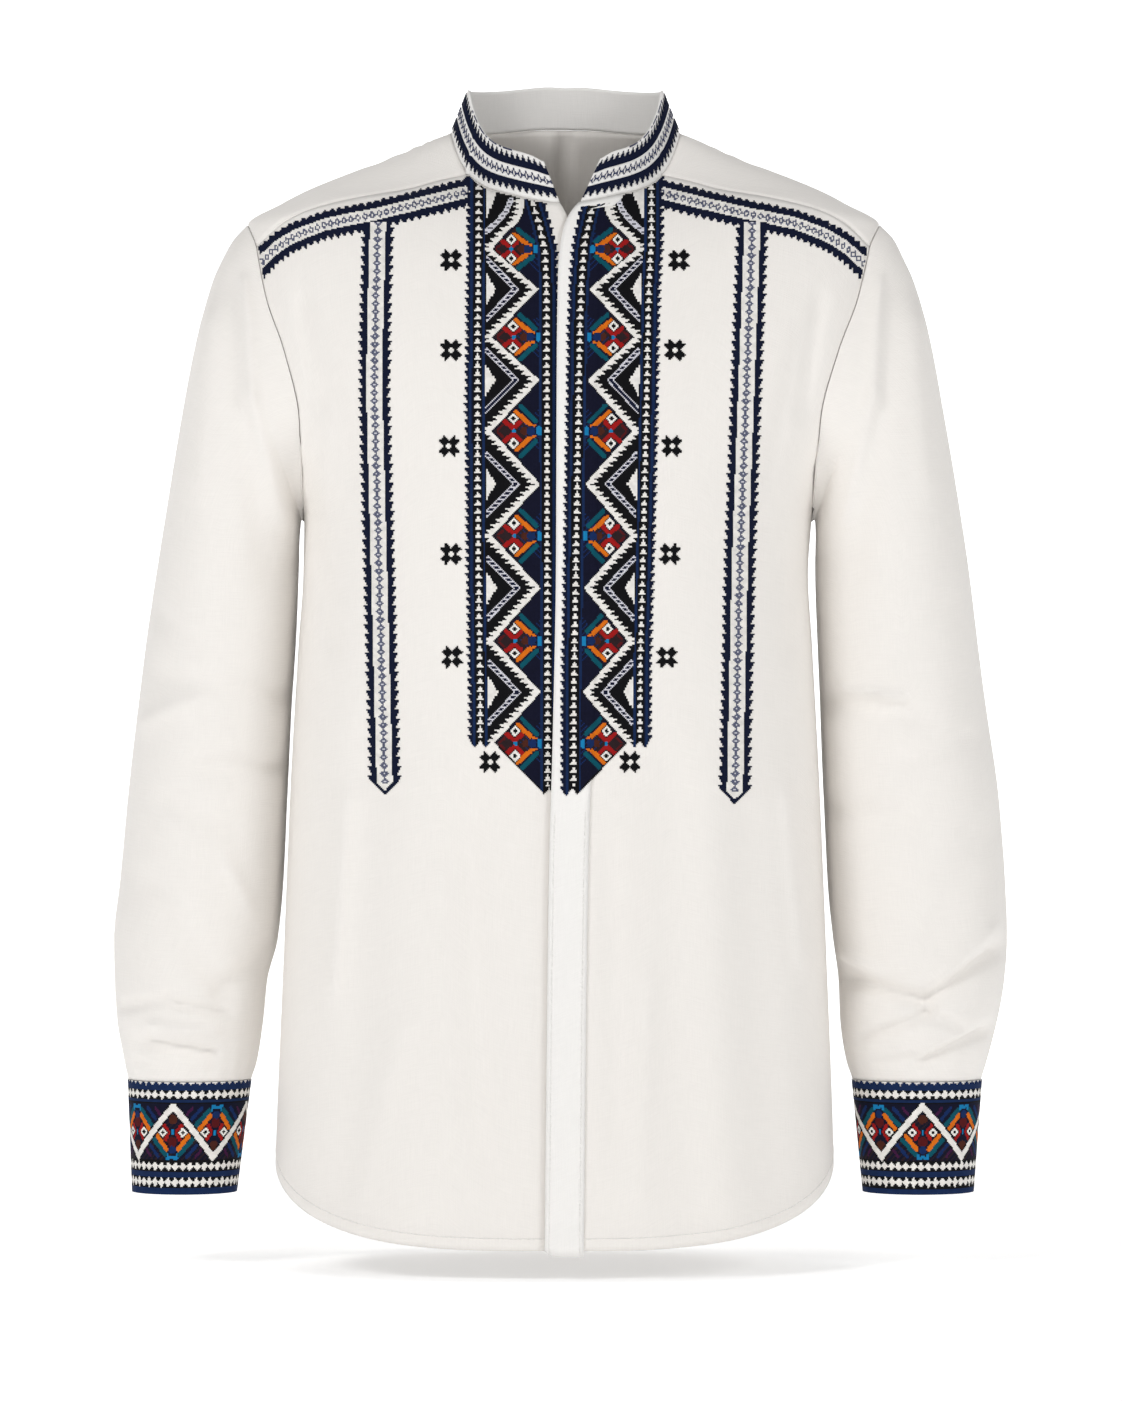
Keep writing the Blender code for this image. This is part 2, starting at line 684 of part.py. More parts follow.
def back_half_lower(side, start_out):
    """Lower half of the back, from the hem up to the armpit."""
    at_armpit = armpit_row(side, start_out)
    turns = turn_of(at_armpit[:, 0] - body_centre(ARMPIT_Z), ARMPIT_Z)
    part = np.cos(turns) ** (2.0 / SUPERELLIPSE)
    hem = hem_height(part, HEM_BACK_DROP)
    hem[-1] = HEM_SIDE_Z
    share = np.linspace(0.0, 1.0, SIDE_SEAM_ROWS + 1)[:-1, None]
    z = hem + (ARMPIT_Z - hem) * share
    return body_point(side, np.broadcast_to(turns, z.shape), z)


def pleat_columns(side, heights):
    """Columns of the box pleat beside the middle of the back, one for each distance out."""
    columns = []
    for out in (PLEAT_HALF_WIDTH, PLEAT_HALF_WIDTH + PLEAT_SIDE):
        columns.append(body_point(side, turn_of(out, heights), heights))
    return columns


def back_grid():
    """Grid of the back, rows from the hem up and columns from -X to +X."""
    first_out = 2.0 * PLEAT_HALF_WIDTH + PLEAT_SIDE
    halves = []
    for side in (-1.0, 1.0):
        lower = back_half_lower(side, first_out)
        upper = back_half_upper(side, first_out)
        lower[:, -1, 1] += 0.5 * OUTER_SEAM_GAP
        upper[0, -1, 1] += 0.5 * OUTER_SEAM_GAP
        half = np.concatenate([lower, upper], axis=0)
        heights = half[:, 0, 2]
        pleat = pleat_columns(side, heights)
        halves.append(np.concatenate([np.stack(pleat, axis=1), half], axis=1))
    first_heights = halves[0][:, 0, 2]
    middle = body_point(1.0, np.full(first_heights.shape, math.pi / 2.0), first_heights)[:, None]
    points = np.concatenate([halves[0][:, ::-1], middle, halves[1]], axis=1)
    heights = points[..., 2]
    on_pleat = np.zeros(points.shape[:2])
    centre = halves[0].shape[1]
    on_pleat[:-1, centre - 1:centre + 2] = PLEAT_HEIGHT
    strength = ease((heights - PLEAT_FADES_Z) / (0.0 - PLEAT_FADES_Z))
    at_back = ease(points[..., 1] / BACK_FOLDS_FULL_Y)
    folds = creases(points[..., 0], heights, BACK_FOLDS) * at_back
    return moved_out(points, folds + on_pleat * strength, flip=True)


# Sleeves and cuffs

def sleeve_section(side, outer_z, inner_z, angles):
    """Oval section between an outer and an inner edge of the sleeve."""
    column = 1 if side < 0.0 else 2
    outer = np.array([side * through(SLEEVE_OUTER, column, outer_z), outer_z])
    inner = np.array([side * through(SLEEVE_INNER, column, inner_z), inner_z])
    half_depth = through(SLEEVE_DEPTH, 1, outer_z)
    middle_y = through(SLEEVE_DEPTH, 2, outer_z)
    centre = 0.5 * (outer + inner)
    half = 0.5 * (outer - inner)
    x = centre[0] + half[0] * np.cos(angles)
    z = centre[1] + half[1] * np.cos(angles)
    y = middle_y - half_depth * np.sin(angles)
    return np.stack([x, y, z], axis=-1)


def sleeve_grid(side, folds):
    """Grid of a sleeve, rows from the armhole down and columns round the arm."""
    angles = armhole_angles()
    seam = armhole_loop(side)
    seam_section = sleeve_section(side, SHOULDER_TIP_Z, ARMPIT_Z, angles)
    away = seam - seam_section
    sections = []
    near_tip = 0.5 * (1.0 + np.cos(angles))
    upright_rows = ARMHOLE_ROWS_LEAST + ARMHOLE_ROWS_MORE_AT_TIP * near_tip
    depth_rows = np.full(near_tip.shape, ARMHOLE_ROWS_DEPTH)
    blend_rows = np.stack([upright_rows, depth_rows, upright_rows], axis=-1)
    for step, (outer_z, inner_z) in enumerate(SLEEVE_FAN):
        share = ease((step + 1.0) / blend_rows)
        section = sleeve_section(side, outer_z, inner_z, angles)
        sections.append(section + (1.0 - share) * away)
    for level in SLEEVE_LEVEL_ROWS:
        sections.append(sleeve_section(side, level, level, angles))
    step_off = sections[0] - seam
    step_off /= np.linalg.norm(step_off, axis=-1, keepdims=True)
    points = np.array([seam + OUTER_SEAM_GAP * step_off] + sections)
    on_front = ease(np.sin(angles) * 2.0)
    above_cuff = ease((points[..., 2] - SLEEVE_LEVEL_ROWS[-1]) / CUFF_GATHER_LENGTH)
    height = creases(points[..., 0], points[..., 2], folds) * on_front * above_cuff
    height[0] = 0.0
    return moved_out(points, height, flip=side < 0.0, closed=True)


def cuff_grid(side):
    angles = 2.0 * math.pi * np.arange(CUFF_COLUMNS) / CUFF_COLUMNS
    rings = []
    for z, minus_x, minus_x_half, plus_x, plus_x_half, half_depth, middle_y in CUFF_RINGS:
        centre = -minus_x if side < 0.0 else plus_x
        half = minus_x_half if side < 0.0 else plus_x_half
        x = centre + side * half * np.cos(angles)
        y = middle_y - half_depth * np.sin(angles)
        rings.append(np.stack([x, y, np.full(x.shape, z)], axis=-1))
    return np.array(rings)


# Collar

def neck_edge(front_left, back, front_right):
    """Points of the neckline that the panels share with the collar, from the +X front end round."""
    before_joint = front_left.shape[1] - SHOULDER_COLUMNS - 1
    from_left = front_left[-1, :before_joint]
    round_back = back[-1, ::-1][SHOULDER_COLUMNS:back.shape[1] - SHOULDER_COLUMNS]
    to_right = front_right[-1, :before_joint][::-1]
    return np.concatenate([from_left, round_back, to_right])


def with_midpoints(points):
    """A row of points with the middle of each of its stretches put in."""
    middles = 0.5 * (points[:-1] + points[1:])
    paired = np.stack([points[:-1], middles], axis=1).reshape(-1, 3)
    return np.concatenate([paired, points[-1:]])


def collar_grid(edge):
    """Grid of the stand collar, rows from its seam up, columns from the +X front end round the back."""
    edge = with_midpoints(edge)
    rows = np.linspace(0.0, 1.0, COLLAR_ROWS)
    depth = np.where(edge[:, 1] > 0.0, NECK_BACK, NECK_FRONT)
    turn = np.unwrap(np.arctan2(edge[:, 1] / depth, (edge[:, 0] - NECK_CENTRE_X) / NECK_HALF_WIDTH))
    share = (turn - turn[0]) / (turn[-1] - turn[0])
    top_turn = np.radians(COLLAR_TOP_TURNS[0] + (COLLAR_TOP_TURNS[1] - COLLAR_TOP_TURNS[0]) * share)
    top_depth = np.where(np.sin(top_turn) > 0.0, COLLAR_TOP_BACK, COLLAR_TOP_FRONT)
    top_x = NECK_CENTRE_X + COLLAR_TOP_HALF_WIDTH * np.cos(top_turn)
    top_y = top_depth * np.sin(top_turn)
    from_end = np.minimum(share, 1.0 - share) * NECK_FRONT * (turn[-1] - turn[0])
    corner = COLLAR_CORNER_DROP * np.exp(-(from_end / COLLAR_CORNER_LENGTH) ** 2)
    same_turn_base = neckline(top_turn)
    top = np.stack([top_x, top_y, same_turn_base[:, 2] + COLLAR_RISE - corner], axis=-1)
    base = edge + np.array([0.0, 0.0, COLLAR_LIFT])
    return base + (top - base) * rows[:, None, None]


# Meshes

def linen_material(name):
    colour, roughness = MATERIALS[name]
    material = bpy.data.materials.new(name)
    material.use_nodes = True
    shader = material.node_tree.nodes["Principled BSDF"]
    shader.inputs["Base Color"].default_value = (*colour, 1.0)
    shader.inputs["Roughness"].default_value = roughness
    shader.inputs["Metallic"].default_value = 0.0
    material.diffuse_color = (*colour, 1.0)
    return material


def grid_faces(rows, columns, closed, flip):
    """Quads of a grid, with its columns joined up where it is closed."""
    row = np.arange(rows - 1)[:, None]
    column = np.arange(columns if closed else columns - 1)[None, :]
    following = (column + 1) % columns
    corners = [
        row * columns + column,
        row * columns + following,
        (row + 1) * columns + following,
        (row + 1) * columns + column,
    ]
    if flip:
        corners.reverse()
    return np.stack(np.broadcast_arrays(*corners), axis=-1).reshape(-1, 4)


def add_cloth(name, points, thickness, material, collection, flip=False, closed=False):
    """One piece of cloth: an open surface of the outer side, given its wall inward."""
    rows, columns = points.shape[:2]
    mesh = bpy.data.meshes.new(name)
    vertices = (points.reshape(-1, 3) * MM).tolist()
    mesh.from_pydata(vertices, [], grid_faces(rows, columns, closed, flip).tolist())
    mesh.shade_smooth()
    mesh.materials.append(linen_material(material))
    piece = bpy.data.objects.new(name, mesh)
    collection.objects.link(piece)
    wall = piece.modifiers.new("wall", "SOLIDIFY")
    wall.thickness = thickness * MM
    wall.offset = -1.0
    wall.use_rim = True
    return piece


def clear_scene():
    for item in list(bpy.data.objects):
        bpy.data.objects.remove(item, do_unlink=True)


def main():
    clear_scene()
    shirt = bpy.data.collections.new(COLLECTION)
    bpy.context.scene.collection.children.link(shirt)

    front_left = front_left_grid()
    front_right = front_right_grid()
    back = back_grid()
    collar = collar_grid(neck_edge(front_left, back, front_right))
    add_cloth("front_left", front_left, CLOTH, "linen", shirt)
    add_cloth("front_right", front_right, CLOTH, "linen_underlap", shirt, flip=True)
    add_cloth("placket", placket_grid(front_left), CLOTH, "linen_placket", shirt)
    add_cloth("back", back, CLOTH, "linen_back", shirt, flip=True)
    add_cloth("collar", collar, BAND_CLOTH, "embroidered_collar", shirt)

    sleeves = (("right", -1.0, RIGHT_SLEEVE_FOLDS), ("left", 1.0, LEFT_SLEEVE_FOLDS))
    for wearer_side, side, folds in sleeves:
        flip = side < 0.0
        sleeve = sleeve_grid(side, folds)
        add_cloth(f"sleeve_{wearer_side}", sleeve, CLOTH, "linen_sleeve", shirt, flip, closed=True)
        cuff = cuff_grid(side)
        add_cloth(f"cuff_{wearer_side}", cuff, BAND_CLOTH, "embroidered_cuff", shirt, flip, closed=True)


main()
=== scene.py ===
"""Embroidered linen folk shirt (vyshyvanka), dressed for the picture.

Frame: +X is the wearer's left, the front faces -Y, +Z is up. Named sizes and tables are in
millimetres, and the meshes are made in metres. Each piece of cloth is a patch of the shirt's form,
worked out on a grid, with its creases raised or sunk along its own normals. The embroidery is worked
in small square stitches: a chart gives each stitch its thread, and a chart is painted by formulas.
"""

import math

import bpy
import numpy as np
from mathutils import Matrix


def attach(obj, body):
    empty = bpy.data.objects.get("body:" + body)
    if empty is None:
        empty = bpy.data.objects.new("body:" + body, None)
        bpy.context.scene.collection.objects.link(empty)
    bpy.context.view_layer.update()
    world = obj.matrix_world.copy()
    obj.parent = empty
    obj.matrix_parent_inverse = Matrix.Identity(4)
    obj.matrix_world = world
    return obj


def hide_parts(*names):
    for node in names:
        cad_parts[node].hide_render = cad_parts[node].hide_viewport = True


MM = 0.001

# Cloth
CLOTH = 1.2
BAND_CLOTH = 2.0
SEAM_GAP = 0.3
# Walls lean toward each other inside a convex seam, so their outer edges stand further apart
OUTER_SEAM_GAP = 0.6
SUPERELLIPSE = 2.3

# Rings of the body: height, centre x, half width, front depth, back depth
RINGS = (
    (22.0, 3.5, 60.0, 8.0, 65.5),
    (13.0, 3.5, 79.0, 14.0, 68.0),
    (6.0, 3.0, 96.5, 19.0, 72.0),
    (-8.0, 2.5, 129.0, 28.0, 80.0),
    (-21.0, 2.5, 163.0, 37.5, 87.0),
    (-30.0, 2.5, 184.0, 47.0, 91.5),
    (-38.5, 2.5, 200.0, 59.5, 95.0),
    (-53.0, 2.5, 224.0, 71.5, 100.0),
    (-79.0, 2.0, 229.0, 86.0, 105.5),
    (-106.0, 1.5, 230.0, 96.0, 109.0),
    (-142.0, 1.0, 224.0, 107.0, 112.5),
    (-192.0, 0.0, 204.0, 117.0, 115.0),
    (-230.0, -1.0, 188.0, 121.0, 114.0),
    (-263.0, -1.5, 180.0, 123.0, 113.0),
    (-300.0, -3.0, 179.0, 123.0, 112.0),
    (-350.0, -3.3, 182.0, 122.0, 110.5),
    (-450.0, -3.5, 187.5, 119.0, 109.0),
    (-560.0, -3.5, 192.0, 118.0, 109.0),
    (-700.0, -3.8, 197.5, 118.0, 111.0),
    (-790.0, -4.0, 199.5, 118.0, 112.0),
)
ARMPIT_Z = -263.0
SHOULDER_TIP_Z = -53.0

# Armhole seam: height, distance from the body's centre line
ARMHOLE_FRONT = (
    (SHOULDER_TIP_Z, 224.0),
    (-60.0, 220.5),
    (-71.0, 215.8),
    (-82.0, 213.5),
    (-110.0, 206.8),
    (-146.0, 193.6),
    (-195.0, 182.0),
    (ARMPIT_Z, 180.0),
)
ARMHOLE_BACK = (
    (SHOULDER_TIP_Z, 224.0),
    (-90.0, 217.5),
    (-130.0, 208.0),
    (-170.0, 197.0),
    (-210.0, 186.0),
    (-240.0, 181.5),
    (ARMPIT_Z, 180.0),
)

# Shoulder seam, forward of the ridge: distance from the body's centre line, height
SHOULDER_SEAM = (
    (69.0, -20.5),
    (87.0, -24.5),
    (109.0, -31.0),
    (141.5, -36.5),
    (173.6, -44.0),
    (194.7, -53.0),
    (215.8, -71.0),
)
SHOULDER_SEAM_INNER = SHOULDER_SEAM[0][0]
SHOULDER_SEAM_OUTER_Z = SHOULDER_SEAM[-1][1]

# Neckline, an ellipse in plan. Its height is looked for between two limits, by halving steps
NECK_CENTRE_X = 3.9
NECK_HALF_WIDTH = 81.3
NECK_FRONT = 64.0
NECK_BACK = 66.0
NECK_LOWEST_Z = -60.0
HALVING_STEPS = 40

# Hem: a curved shirt tail that rises to the side seams
HEM_SIDE_Z = -714.0
HEM_FRONT_DROP = 56.5
HEM_BACK_DROP = 62.0
HEM_ROUNDNESS = 3.4
HEM_MIDDLE_Z = -740.0

# Edge of the overlapping front, and the hidden edge of the front under it: height, x
OVER_EDGE = (
    (-40.0, 17.1),
    (-46.0, 11.0),
    (-54.0, 5.6),
    (-66.0, 1.5),
    (-90.0, -1.2),
    (-150.0, -2.2),
    (-300.0, -2.8),
    (-423.0, -5.2),
    (-506.0, -7.6),
    (-775.0, -10.7),
)
UNDER_EDGE = (
    (-42.0, -0.7),
    (-54.0, 5.6),
    (-66.0, 9.0),
    (-90.0, 12.0),
    (-150.0, 14.0),
    (-500.0, 12.0),
    (-775.0, 9.0),
)
# The front beneath is tucked back by this depth, over a ramp beside the overlapping edge
TUCK_DEPTH = CLOTH + 0.8
TUCK_RAMP = 9.0
TUCK_BESIDE_EDGE = 2.0
TUCK_LEAST_WIDTH = 5.0
TUCK_STARTS_Z = -42.0
TUCK_FULL_Z = -56.0

# Placket band on the overlapping front
PLACKET_WIDTH = 27.0
PLACKET_BELOW_HEM = 4.0
PLACKET_BELOW_COLLAR_ROWS = 0.3

# Box pleat below the collar at the middle of the back
PLEAT_HALF_WIDTH = 5.6
PLEAT_SIDE = 1.0
PLEAT_HEIGHT = 2.0
PLEAT_FADES_Z = -420.0

# Soft folds of the body, front then back: x and height of each end, half width, depth (+ is a ridge)
FRONT_FOLDS = (
    (-131.0, -430.0, -145.0, -730.0, 17.0, -3.2),
    (-148.0, -330.0, -157.0, -600.0, 11.0, 1.4),
    (-93.0, -440.0, -110.0, -730.0, 24.0, 1.8),
    (-62.0, -450.0, -52.0, -740.0, 12.0, -1.5),
    (73.0, -440.0, 87.0, -750.0, 17.0, -2.6),
    (104.0, -440.0, 114.0, -740.0, 15.0, 2.0),
    (131.0, -480.0, 146.0, -730.0, 16.0, -2.4),
)
BACK_FOLDS = (
    (-60.0, -330.0, -72.0, -740.0, 20.0, -3.2),
    (-105.0, -300.0, -122.0, -730.0, 20.0, 2.2),
    (58.0, -330.0, 66.0, -740.0, 20.0, -3.4),
    (104.0, -280.0, 126.0, -730.0, 22.0, 2.4),
    (0.0, -480.0, -2.0, -760.0, 26.0, 2.0),
)

# Folds of the back show from here backward
BACK_FOLDS_FULL_Y = 60.0

# Sleeves, outer edge: height, distance out on the -X side and on the +X side
SLEEVE_OUTER = (
    (SHOULDER_TIP_Z, 221.5, 226.5),
    (-64.0, 231.5, 237.1),
    (-78.0, 239.3, 244.2),
    (-92.0, 245.7, 250.6),
    (-121.0, 254.2, 259.2),
    (-149.0, 260.6, 265.5),
    (-192.0, 268.7, 273.4),
    (-234.0, 276.2, 280.5),
    (-291.0, 285.4, 289.7),
    (-348.0, 293.9, 296.8),
    (-405.0, 301.0, 304.6),
    (-461.0, 307.4, 312.4),
    (-518.0, 313.1, 316.7),
    (-561.0, 317.4, 318.0),
    (-589.0, 316.9, 316.0),
    (-618.0, 315.2, 311.0),
    (-646.0, 310.3, 303.9),
    (-660.0, 307.1, 299.6),
)
# Sleeves, inner edge: height, distance out on the -X side and on the +X side
SLEEVE_INNER = (
    (ARMPIT_Z, 183.8, 180.8),
    (-277.0, 185.0, 181.2),
    (-291.0, 185.6, 181.2),
    (-348.0, 188.0, 183.0),
    (-405.0, 191.4, 185.3),
    (-461.0, 194.2, 187.6),
    (-518.0, 196.7, 190.3),
    (-561.0, 200.9, 194.5),
    (-589.0, 208.0, 198.1),
    (-618.0, 210.9, 199.4),
    (-646.0, 215.1, 203.6),
    (-660.0, 219.7, 208.0),
)
# Sleeves, depth: height, half depth, y of the middle
SLEEVE_DEPTH = (
    (SHOULDER_TIP_Z, 58.0, -6.0),
    (-291.0, 61.0, 4.0),
    (-405.0, 62.0, 10.0),
    (-518.0, 60.0, 12.0),
    (-589.0, 56.0, 11.0),
    (-618.0, 53.0, 10.0),
    (-646.0, 45.0, 8.5),
    (-660.0, 38.5, 8.0),
)
# The rows of a sleeve turn from the plane of the armhole to level: outer height, inner height
SLEEVE_FAN = (
    (-61.0, ARMPIT_Z),
    (-71.0, -264.5),
    (-84.0, -267.0),
    (-102.0, -270.0),
    (-126.0, -273.5),
    (-156.0, -277.5),
    (-192.0, -282.0),
    (-234.0, -286.5),
    (-291.0, -291.0),
)
SLEEVE_LEVEL_ROWS = (
    -330.0, -364.0, -384.0, -406.0, -430.0, -446.0, -472.0, -500.0,
    -528.0, -552.0, -572.0, -590.0, -607.0, -624.0, -642.0, -659.4,
)
# Rows over which a sleeve leaves the shape of its armhole: at the armpit, across the depth, and how
# many more at the tip
ARMHOLE_ROWS_LEAST = 1.5
ARMHOLE_ROWS_DEPTH = 5.5
ARMHOLE_ROWS_MORE_AT_TIP = 4.0
CUFF_GATHER_LENGTH = 18.0

# Largest folds of the sleeves, on the front: x and height of each end, half width, depth
RIGHT_SLEEVE_FOLDS = (
    (-232.0, -105.0, -206.0, -300.0, 11.0, -3.0),
    (-272.0, -374.0, -194.0, -386.0, 9.0, -3.2),
    (-244.0, -438.0, -200.0, -436.0, 8.0, -4.0),
    (-288.0, -522.0, -240.0, -590.0, 9.0, -4.0),
    (-236.0, -598.0, -205.0, -566.0, 8.0, -3.6),
    (-292.0, -632.0, -244.0, -640.0, 7.0, -2.6),
)
LEFT_SLEEVE_FOLDS = (
    (238.0, -105.0, 206.0, -300.0, 11.0, -2.6),
    (190.0, -391.0, 244.0, -398.0, 9.0, -4.4),
    (190.0, -466.0, 240.0, -474.0, 8.0, -2.8),
    (292.0, -492.0, 262.0, -552.0, 12.0, -2.6),
    (200.0, -586.0, 254.0, -602.0, 8.0, -4.0),
    (256.0, -602.0, 310.0, -566.0, 8.0, -3.6),
    (252.0, -647.0, 302.0, -624.0, 7.0, -2.8),
)

# Cuffs: height, centre and half width on the -X side, the same on the +X side, half depth, middle y
CUFF_RINGS = (
    (-660.0, 263.4, 43.7, 253.8, 45.8, 38.5, 8.0),
    (-686.0, 264.6, 41.5, 254.1, 43.5, 36.8, 7.6),
    (-713.0, 265.8, 39.2, 254.4, 41.2, 34.9, 7.2),
    (-739.5, 267.0, 37.0, 254.7, 38.9, 33.0, 7.0),
)

# Collar: a stand that leans in, with a gap at the front
COLLAR_RISE = 30.5
COLLAR_TOP_HALF_WIDTH = 69.2
COLLAR_TOP_FRONT = 58.0
COLLAR_TOP_BACK = 60.0
COLLAR_TOP_TURNS = (-69.3, 257.4)
COLLAR_CORNER_DROP = 2.5
COLLAR_CORNER_LENGTH = 6.0
COLLAR_ROWS = 14
COLLAR_LIFT = 0.35

# Grids of the body panels
SIDE_SEAM_ROWS = 118
INNER_COLUMNS = 9
FRONT_NECK_COLUMNS = 16
BACK_NECK_COLUMNS = 26
SHOULDER_COLUMNS = 40
RELAXING_ROUNDS = 3
RELAXING_SHARE = 0.8
EDGE_POINTS = 240

# A front's top edge is looked for in steps, from a first height; near the middle it is the neckline
TOP_EDGE_STEPS = 8
TOP_EDGE_FIRST_Z = -40.0
NECKLINE_ALONE_WITHIN = 54.0
PAST_MIDDLE = 20.0
FRONT_NECK_Z = -30.0

# Points round an armhole, which its sleeve shares: tip to shoulder seam, on to the armpit, and back
ARMHOLE_STEPS = (8, 42, 50)
SLEEVE_ROWS = 150
CUFF_ROWS = 26

# Hem band: its depth, its rise over the cloth, the width of the step, and a distance well above it
HEM_BAND = 10.0
HEM_RISE = 0.7
HEM_BAND_STEP = 1.4
ABOVE_HEM_BAND = 100.0

# Faint waves of the cloth: turns a mm across and up, start, and height in mm
RIPPLES = ((0.043, 0.011, 0.7), (0.071, -0.017, 2.1), (0.019, 0.037, 4.0))
RIPPLE_HEIGHT = 0.22

# The most that a height over the form is drawn forward where the form turns away
LEAN_MOST = 2.0

# Stitches: size of one in picture pixels, rise of the thread over the cloth, and its thickness
STITCH = 1.35
CUFF_PX_PER_DEGREE = 1.04
CUFF_MOTIF_LEVEL = 52.0
CUFF_PICTURE_HEIGHT = 116.5
THREAD_LIFT = 0.36
THREAD_THICKNESS = 0.3

# Pixels of the picture that the stitches of the fronts cover: rows, then side, node and columns
SEWN_TOP_PX = 172.0
SEWN_BOTTOM_PX = 812.0
SEWN_FRONTS = ((-1.0, "front_right", 246.0, 562.0), (1.0, "front_left", 559.0, 876.0))

# Margins of the stitches: from the seams, from the edge of the front above, past the tuck of the front
# beneath. Width over which they come down off the placket
SEWN_FROM_SEAM = 1.0
SEWN_FROM_EDGE = 0.8
SEWN_PAST_TUCK = 2.5
PLACKET_STEP = 2.5

# Search for a stitch on its line of sight: first depth and rounds. Newton steps onto the body form:
# their number, and the reach over which its slope is taken. Steps that even out the back in a round
FIRST_SEWN_Y = -110.0
SEWN_ROUNDS = 7
NEWTON_STEPS = 12
SLOPE_REACH = 0.05
EVENING_STEPS = 4

# Seam stitches: spacing, length, half width, rise over the cloth, distance from the hem, rows of the
# grid searched for it, thickness, columns of the placket, and the height where its seams end
SEAM_PITCH = 3.0
SEAM_STITCH = 2.3
SEAM_HALF_WIDTH = 0.3
SEAM_LIFT = 0.28
SEAM_FROM_HEM = 8.6
SEAM_SEARCH_ROWS = 6
SEAM_THICKNESS = 0.4
PLACKET_SEAMS = (0.9, 7.1)
PLACKET_SEAM_TOP_Z = -464.0

# Small gathers where a sleeve meets its cuff: number round the arm, how far they stray from even
# places and how often, depth, length, and fade at the cuff
GATHER_COUNT = 9.0
GATHER_DRIFT = 1.1
GATHER_DRIFT_COUNT = 3.0
GATHER_DEPTH = 1.1
GATHER_LENGTH = 22.0
GATHER_FADE = 3.0

# Folds of a sleeve start and are full after this many sections below the armhole
FOLDS_START_STEP = 0.3
FOLDS_FULL_AFTER = 1.5

# The picture: width in pixels, millimetres a pixel, and the camera's distance
PICTURE_WIDTH = 1122
PIXEL = 0.71
AXIS_PX = 560.0
LEVEL_PX = 150.0
CAMERA_DISTANCE = 4000.0
CAMERA_X = 0.71
CAMERA_Z = -391.2
FRONT_SCALE = 0.9705
CREASE_STRENGTH = 3.0

# The pale floor. Its emission is painted light: a faint glow in front that lifts the shadow under the
# hem, rising more and more behind the shirt
FLOOR_Z = -791.0
GLOW_STARTS_Y = 200.0
GLOW_FULL_Y = 2200.0
GLOW_FRONT = 0.42
GLOW_BACK = 0.7
FLOOR_REACH = 6000.0
BEND_STARTS_Y = 5200.0
BEND_RADIUS = 900.0
WALL_HEIGHT = 3500.0

# Soft lights: name, place, what it points at, size of its square, power in watts
SHIRT_MIDDLE = (0.0, 0.0, -400.0)
LIGHTS = (
    ("key", (-1900.0, -2100.0, 1500.0), SHIRT_MIDDLE, 1000.0, 38.0),
    ("side", (2100.0, -1900.0, 900.0), SHIRT_MIDDLE, 1100.0, 22.0),
    ("fill", (0.0, -3400.0, -200.0), SHIRT_MIDDLE, 2600.0, 5.0),
    ("behind", (-900.0, 2600.0, 1500.0), SHIRT_MIDDLE, 1200.0, 14.0),
    ("backdrop", (0.0, 2800.0, 2600.0), (0.0, 6000.0, -300.0), 3600.0, 60.0),
)
WORLD_STRENGTH = 0.26

# Surfaces of the thread, the linen and the floor
THREAD_SURFACE = {"Roughness": 0.75, "Specular IOR Level": 0.12}
THREAD_BUMP_STRENGTH = 0.5
THREAD_BUMP_DEPTH = 0.0003
THREAD_TONE_SCALE = 0.21
THREAD_TONE_DETAIL = 3.0
THREAD_TONE_LEAST = 0.72
THREAD_TONE_MOST = 1.2
LINEN_SURFACE = {
    "Roughness": 0.86,
    "Sheen Weight": 0.25,
    "Sheen Roughness": 0.5,
    "Specular IOR Level": 0.25,
}
LINEN_BUMP_STRENGTH = 0.35
LINEN_BUMP_DEPTH = 0.0004
LINEN_DARK_SHARE = 0.93
WEAVE_ACROSS_THREAD = 1500.0
WEAVE_ALONG_THREAD = 60.0
WEAVE_DETAIL = 2.0
FLOOR_SURFACE = {
    "Base Color": (0.93, 0.93, 0.93, 1.0),
    "Emission Color": (1.0, 1.0, 1.0, 1.0),
    "Roughness": 0.9,
    "Specular IOR Level": 0.1,
}


def from_picture(rows, scale=FRONT_SCALE):
    """Creases measured in picture pixels, as x and height of each end, half width and depth in mm."""
    table = np.array(rows, dtype=float)
    result = table.copy()
    for column in (0, 2):
        result[:, column] = (table[:, column] - AXIS_PX) * PIXEL * scale
    for column in (1, 3):
        flat = (LEVEL_PX - table[:, column]) * PIXEL
        result[:, column] = CAMERA_Z + (flat - CAMERA_Z) * scale
    result[:, 4] = table[:, 4] * PIXEL
    result[:, 5] = table[:, 5] * CREASE_STRENGTH
    return result


# Finer creases of the fronts: pixel ends, half width in pixels, depth in mm (+ is a ridge)
FRONT_CREASES = from_picture((
    (345, 800, 332, 985, 9, 1.2),
    (470, 830, 485, 1160, 12, -0.9),
    (440, 880, 452, 1120, 9, 0.5),
    (300, 300, 318, 400, 9, -1.3),
    (318, 330, 350, 470, 9, -0.6),
    (305, 470, 330, 640, 10, -0.9),
    (822, 300, 806, 400, 9, -1.1),
    (802, 330, 772, 470, 9, -0.5),
    (818, 470, 796, 640, 10, -0.8),
    (610, 850, 618, 1150, 10, -0.7),
    (790, 800, 806, 960, 9, 0.9),
    (395, 1040, 360, 1200, 11, 0.8),
    (650, 980, 640, 1190, 9, 0.6),
))

